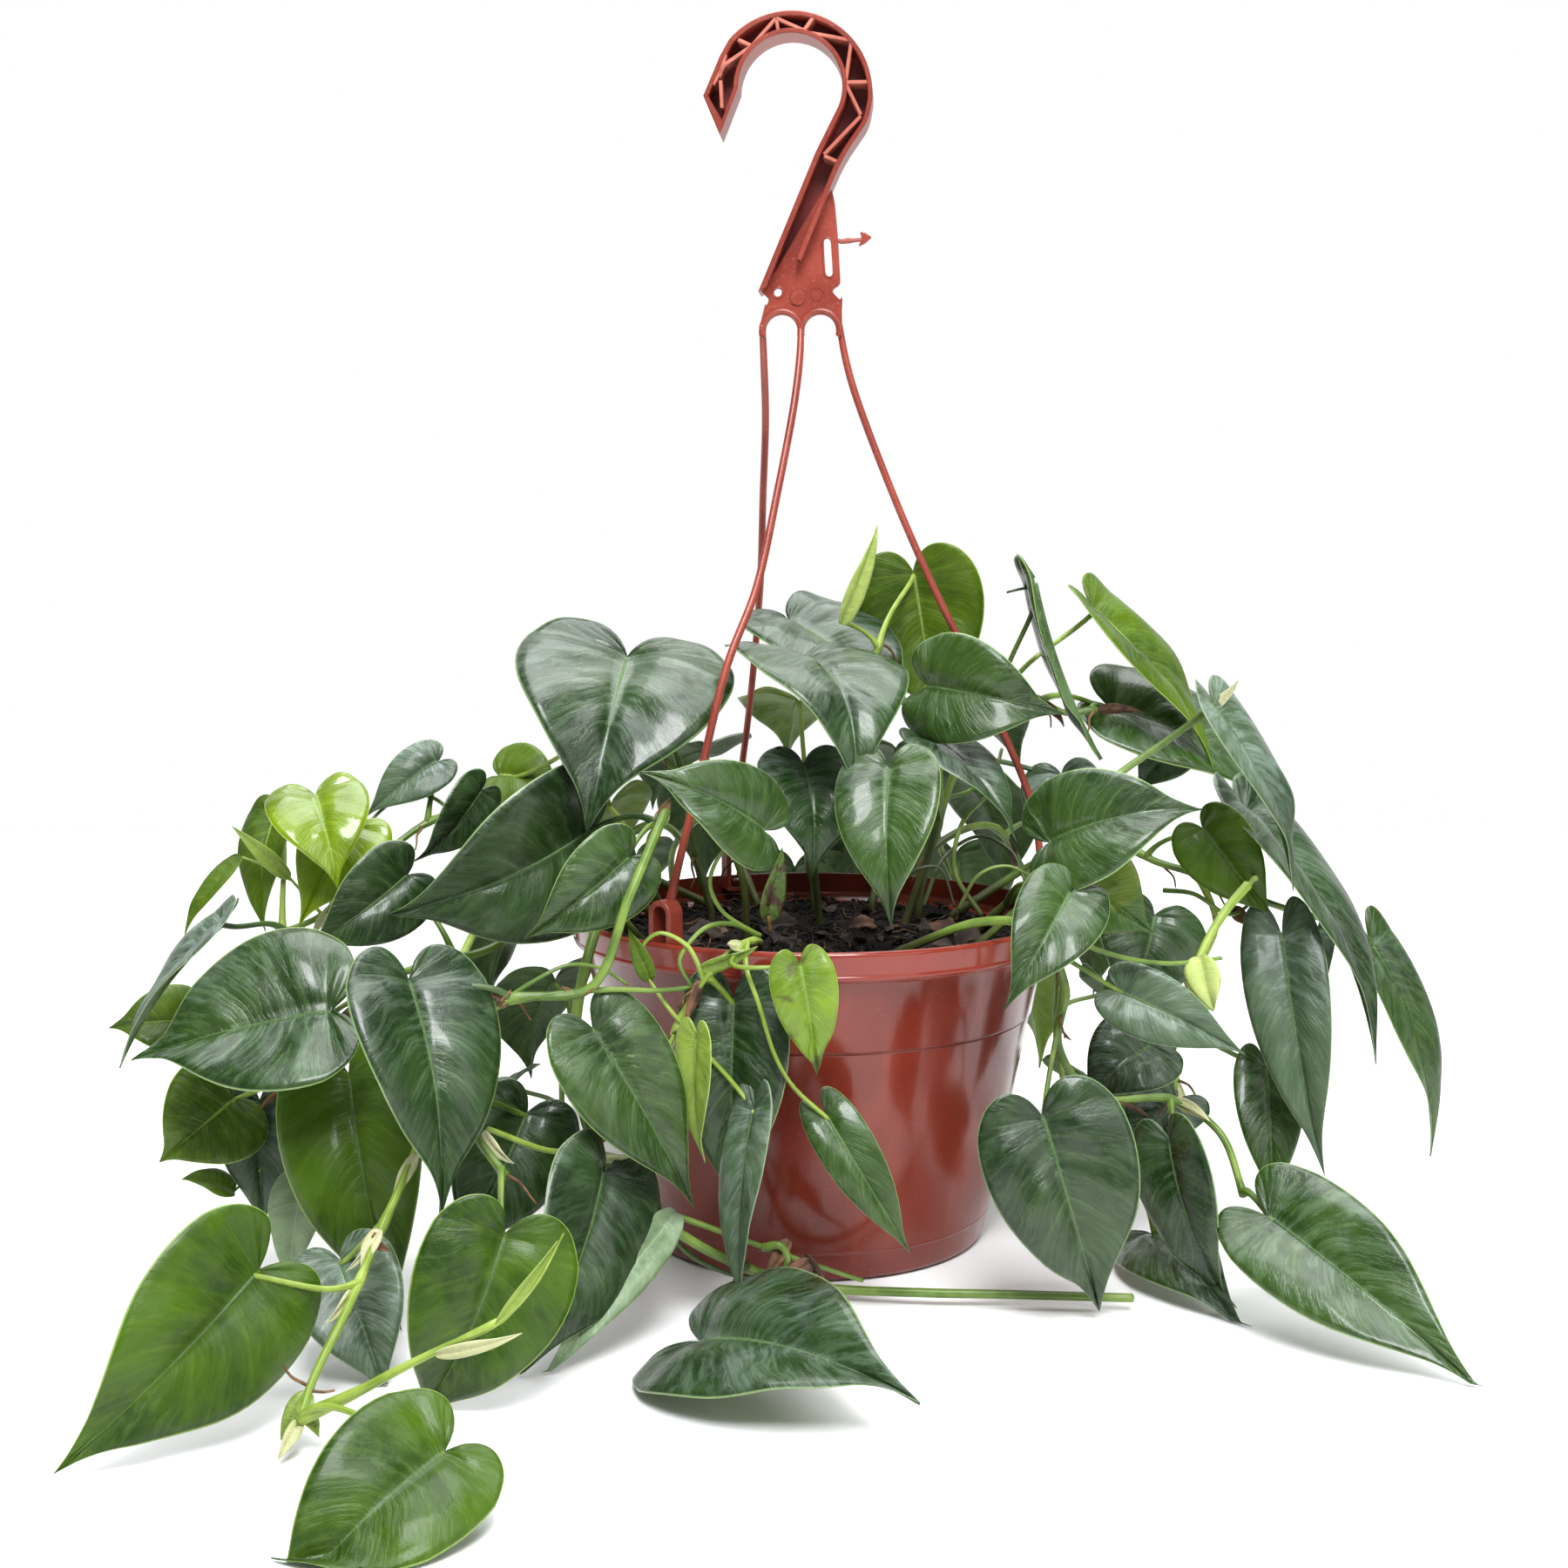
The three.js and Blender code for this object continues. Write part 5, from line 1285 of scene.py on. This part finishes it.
seen_vine(
    "front", (-22, -58), 3.3,
    ((870, 1080, -86), (848, 1086, -104), (812, 1120, -110), (780, 1172, -110), (748, 1240, -114),
     (690, 1310, -118), (640, 1322, -124), (560, 1296, -134)),
    leaf((918, 1106, -122), (938, 1236, -118), 24, 0.3, -8, 0.1, "blotched", ripple=2.6, petiole=0.85,
         via=((841, 1108, -118),)),
    leaf((948, 1280, -112), (1046, 1441, -110), 21, 0.36, 0, 0.14, "mid", petiole=0.85, petiole_start=0.24,
         via=((857, 1113, -114), (870, 1150, -117), (890, 1213, -119), (910, 1247, -117))),
    leaf((800, 1190, -124), (808, 1336, -124), 20, 0.45, 50, 0.05, "young", ripple=0.6, petiole=0.9),
    leaf((680, 1180, -126), (796, 1386, -126), 43, 0.62, -18, 0.06, "mid"),
    leaf((842, 1146, -102), (846, 1402, -108), 42, 0.42, 10, 0.1, "deep"),
    leaf((866, 1272, -120), (851, 1508, -142), 22, 0.52, 44, 0.06, "sheen_grey", petiole=0.9),
    twig(0.95, "stem_lime", (786, 1180, -111), (762, 1150, -112), (745, 1124, -112)),
    flap((746, 1126, -112), (721, 1066, -110), 7, "bright"),
    twig(0.95, "stem_lime", (808, 1128, -110), (800, 1104, -111), (787, 1084, -112), (757, 1071, -113),
         (738, 1086, -112), (739, 1112, -112)),
    flap((803, 1112, -110), (870, 1086, -108), 6, "young", 30),
    twig(1.1, "stem", (872, 1074, -86), (842, 1061, -96), (812, 1064, -104), (790, 1084, -110),
         (780, 1104, -112), (796, 1136, -110)),
    twig(1.05, "stem_lime", (738, 1250, -115), (716, 1282, -117), (684, 1304, -119), (640, 1324, -124)),
    flap((638, 1322, -124), (728, 1327, -121), 6, "sheath", 20, 0.1),
    flap((742, 1213, -113), (762, 1222, -112), 3, "root"),
    flap((800, 1142, -109), (776, 1158, -108), 2.5, "root"),
    flap((660, 1146, -128), (644, 1132, -128), 3, "root", 20),
    twig(1.0, "stem", (866, 1072, -84), (828, 1045, -84), (815, 1012, -84), (831, 976, -84),
         (852, 968, -78)),
    twig(0.9, "root", (884, 1070, -80), (882, 1052, -82)),
    flap((880, 1058, -81), (898, 972, -84), 9, "spotted", 20, 0.03),
    stem="stem_lime",
)
seen_vine(
    "front_left", (-56, -30), 5,
    ((742, 1000, -58), (764, 932, -98), (722, 1030, -124), (678, 1134, -128), (574, 1152, -130),
     (520, 1240, -134), (545, 1300, -140), (580, 1350, -150)),
    leaf((674, 956, -46), (443, 1050, -74), 66, 0.25, -22, 0.14, "deep"),
    leaf((722, 984, -112), (601, 1078, -124), 33, 0.3, -12, 0.12, "mid"),
    leaf((469, 1125, -142), (505, 1396, -165), 57, 0.7, -30, 0.1, "deep"),
    leaf((580, 1416, -186), (480, 1624, -184), 54, 1, -18, 0.16, "olive"),
    leaf((606, 1276, -100), (524, 1444, -110), 46, 0.9, -10, 0.1, "deep"),
    twig(1.3, "stem", (574, 1152, -130), (640, 1141, -129), (700, 1136, -124), (760, 1137, -116),
         (796, 1133, -110)),
    twig(0.9, "stem", (574, 1152, -130), (610, 1128, -128), (652, 1108, -124), (690, 1112, -118),
         (720, 1130, -118)),
    flap((556, 1298, -141), (591, 1336, -143), 5, "sheath", 40, 0.12),
    flap((758, 938, -98), (770, 916, -97), 4, "root", 0, 0.1, 3.0),
    flap((574, 1156, -131), (586, 1136, -130), 4, "root", 30),
    flap((580, 1150, -131), (562, 1142, -131), 3, "dry", 30),
    flap((682, 1130, -128), (668, 1146, -129), 3, "root", 30),
)
seen_vine(
    "left", (-64, 4), 4.4,
    ((700, 1010, -6), (640, 1040, -20), (560, 1090, -50), (480, 1110, -76), (420, 1140, -96),
     (380, 1200, -92), (330, 1250, -84)),
    leaf((380, 1162, -116), (150, 1217, -118), 69, 0.78, 35, 0.05, "mid"),
    leaf((400, 1232, -104), (461, 1530, -124), 53, 0.9, 14, 0.1, "olive"),
    leaf((268, 1262, -86), (182, 1335, -96), 42, 1, 0, 0.1, "bright"),
    leaf((298, 1262, -80), (304, 1412, -90), 32, 1, 14, 0.08, "sheen_grey"),
    leaf((221, 1172, -26), (123, 1180, -33), 29, 0.95, 17, 0.1, "bright"),
    leaf((468, 1004, -52), (348, 1092, -70), 36, 0.5, -14, 0.1, "deep"),
    flap((350, 1340, -88), (332, 1470, -98), 20, "pale", 10, 0.1, 1.6),
    twig(0.9, "stem", (330, 1250, -84), (346, 1300, -86), (350, 1345, -88)),
    flap((268, 1368, -90), (208, 1354, -98), 12, "bright", 40, 0.12),
    twig(0.8, "stem", (330, 1250, -84), (318, 1320, -88), (268, 1368, -90)),
)
seen_vine(
    "left_high", (-60, 34), 4.2,
    ((700, 1000, 30), (640, 950, 24), (560, 930, 18), (500, 940, 8), (430, 990, -8), (370, 1050, -20),
     (320, 1072, -30)),
    leaf((362, 912, -36), (388, 1021, -57), 40, 0.85, -6, 0.14, "lime"),
    leaf((408, 948, -22), (343, 1064, -40), 35, 0.8, 10, 0.12, "lime"),
    leaf((317, 932, -4), (304, 1070, -14), 27, 0.95, 43, 0.1, "bright"),
    leaf((258, 1056, -48), (136, 1226, -67), 38, 1, 80, 0.06, "sheen_grey"),
    leaf((503, 874, 12), (419, 938, 4), 24, 0.6, 20, 0.1, "sheen_grey"),
    leaf((553, 907, 4), (473, 990, -8), 25, 0.5, -30, 0.12, "deep"),
    flap((332, 1008, -20), (266, 948, -24), 7, "young", 0, 0.05),
    twig(0.9, "stem_lime", (370, 1050, -20), (352, 1030, -20), (332, 1007, -20)),
    flap((278, 984, -22), (212, 1074, -30), 11, "bright", 50, 0.08),
    twig(0.7, "stem_lime", (334, 1010, -20), (300, 992, -21), (278, 984, -22)),
    twig(0.9, "stem", (518, 930, 10), (492, 914, 10), (456, 918, 8), (428, 940, 4), (420, 962, -8)),
)
seen_vine(
    "left_low", (-44, 48), 4.6,
    ((690, 990, 40), (600, 1010, 20), (530, 1100, -40), (524, 1200, -92), (472, 1334, -150),
     (434, 1419, -172), (400, 1500, -196), (358, 1587, -214), (345, 1630, -222)),
    leaf((298, 1458, -200), (62, 1693, -246), 60, 0.86, -24, 0.05, "olive", via=((378, 1480, -196),)),
    leaf((511, 1666, -262), (312, 1866, -290), 48, 1, 12, 0.2, "olive"),
    leaf((390, 1446, -150), (446, 1609, -170), 38, 0.8, 0, 0.08, "sheen_grey"),
    leaf((569, 1520, -226), (640, 1424, -220), 4, 1, 30, 0.02, "young",
         via=((451, 1576, -230), (513, 1545, -228)), shoot=True),
    flap((500, 1554, -229), (600, 1530, -226), 5, "sheath", 30, 0.05),
    flap((480, 1326, -150), (452, 1384, -158), 6, "sheath", 40, 0.06),
    flap((436, 1412, -172), (416, 1462, -180), 6, "sheath", 30, 0.1),
    flap((428, 1426, -173), (448, 1436, -173), 3, "root", 10, 0.1),
    flap((356, 1600, -216), (322, 1654, -224), 8, "young", 20, 0.05),
    flap((344, 1610, -219), (366, 1650, -222), 6, "young", -20, 0.05),
    twig(0.6, "root", (352, 1590, -215), (334, 1580, -214), (324, 1566, -213)),
    twig(0.6, "root", (354, 1596, -216), (372, 1598, -216), (384, 1596, -215)),
    twig((2.0, 0.3), "stem_lime", (346, 1630, -222), (400, 1604, -228), (451, 1576, -230),
         (513, 1545, -228), (569, 1520, -226), (614, 1475, -223), (647, 1416, -220)),
    stem="stem_lime",
)
seen_vine(
    "trailing", (-70, -36), 5.4,
    ((704, 1050, -62), (684, 1068, -86), (660, 1200, -104), (690, 1330, -108), (776, 1413, -112),
     (881, 1464, -92), (943, 1478, -90), (1060, 1484, -95), (1160, 1486, -97), (1300, 1490, -101)),
    leaf((692, 1345, -128), (597, 1580, -162), 52, 0.4, -35, 0.1, "deep"),
    leaf((804, 1540, -158), (1056, 1612, -222), 66, 0.6, -38, 0.1, "deep"),
    flap((776, 1392, -118), (622, 1584, -160), 16, "pale", 0, 0.06),
    twig(1.3, "stem", (752, 1388, -110), (800, 1404, -106), (850, 1422, -102), (905, 1442, -98),
         (990, 1470, -92)),
    twig(1.7, "stem", (876, 1432, -104), (896, 1430, -106), (904, 1446, -106), (896, 1462, -104),
         (880, 1458, -103)),
    flap((906, 1424, -102), (880, 1468, -107), 6, "root", 20, 0.1),
    flap((930, 1448, -102), (866, 1490, -110), 9, "dry", -20, 0.1),
    flap((900, 1464, -104), (936, 1480, -104), 6, "root", 10, 0.1),
    flap((924, 1440, -100), (958, 1490, -104), 7, "dry", 30, 0.1),
    twig(0.6, "root", (900, 1440, -100), (880, 1470, -104), (862, 1486, -110)),
    twig(1.0, "stem_dark", (760, 1410, -112), (800, 1446, -104), (850, 1466, -100), (930, 1478, -94)),
)

draws = seeded(HIDDEN_SEED)
for order in range(HIDDEN_COUNT):
    hidden_vine(order, draws)
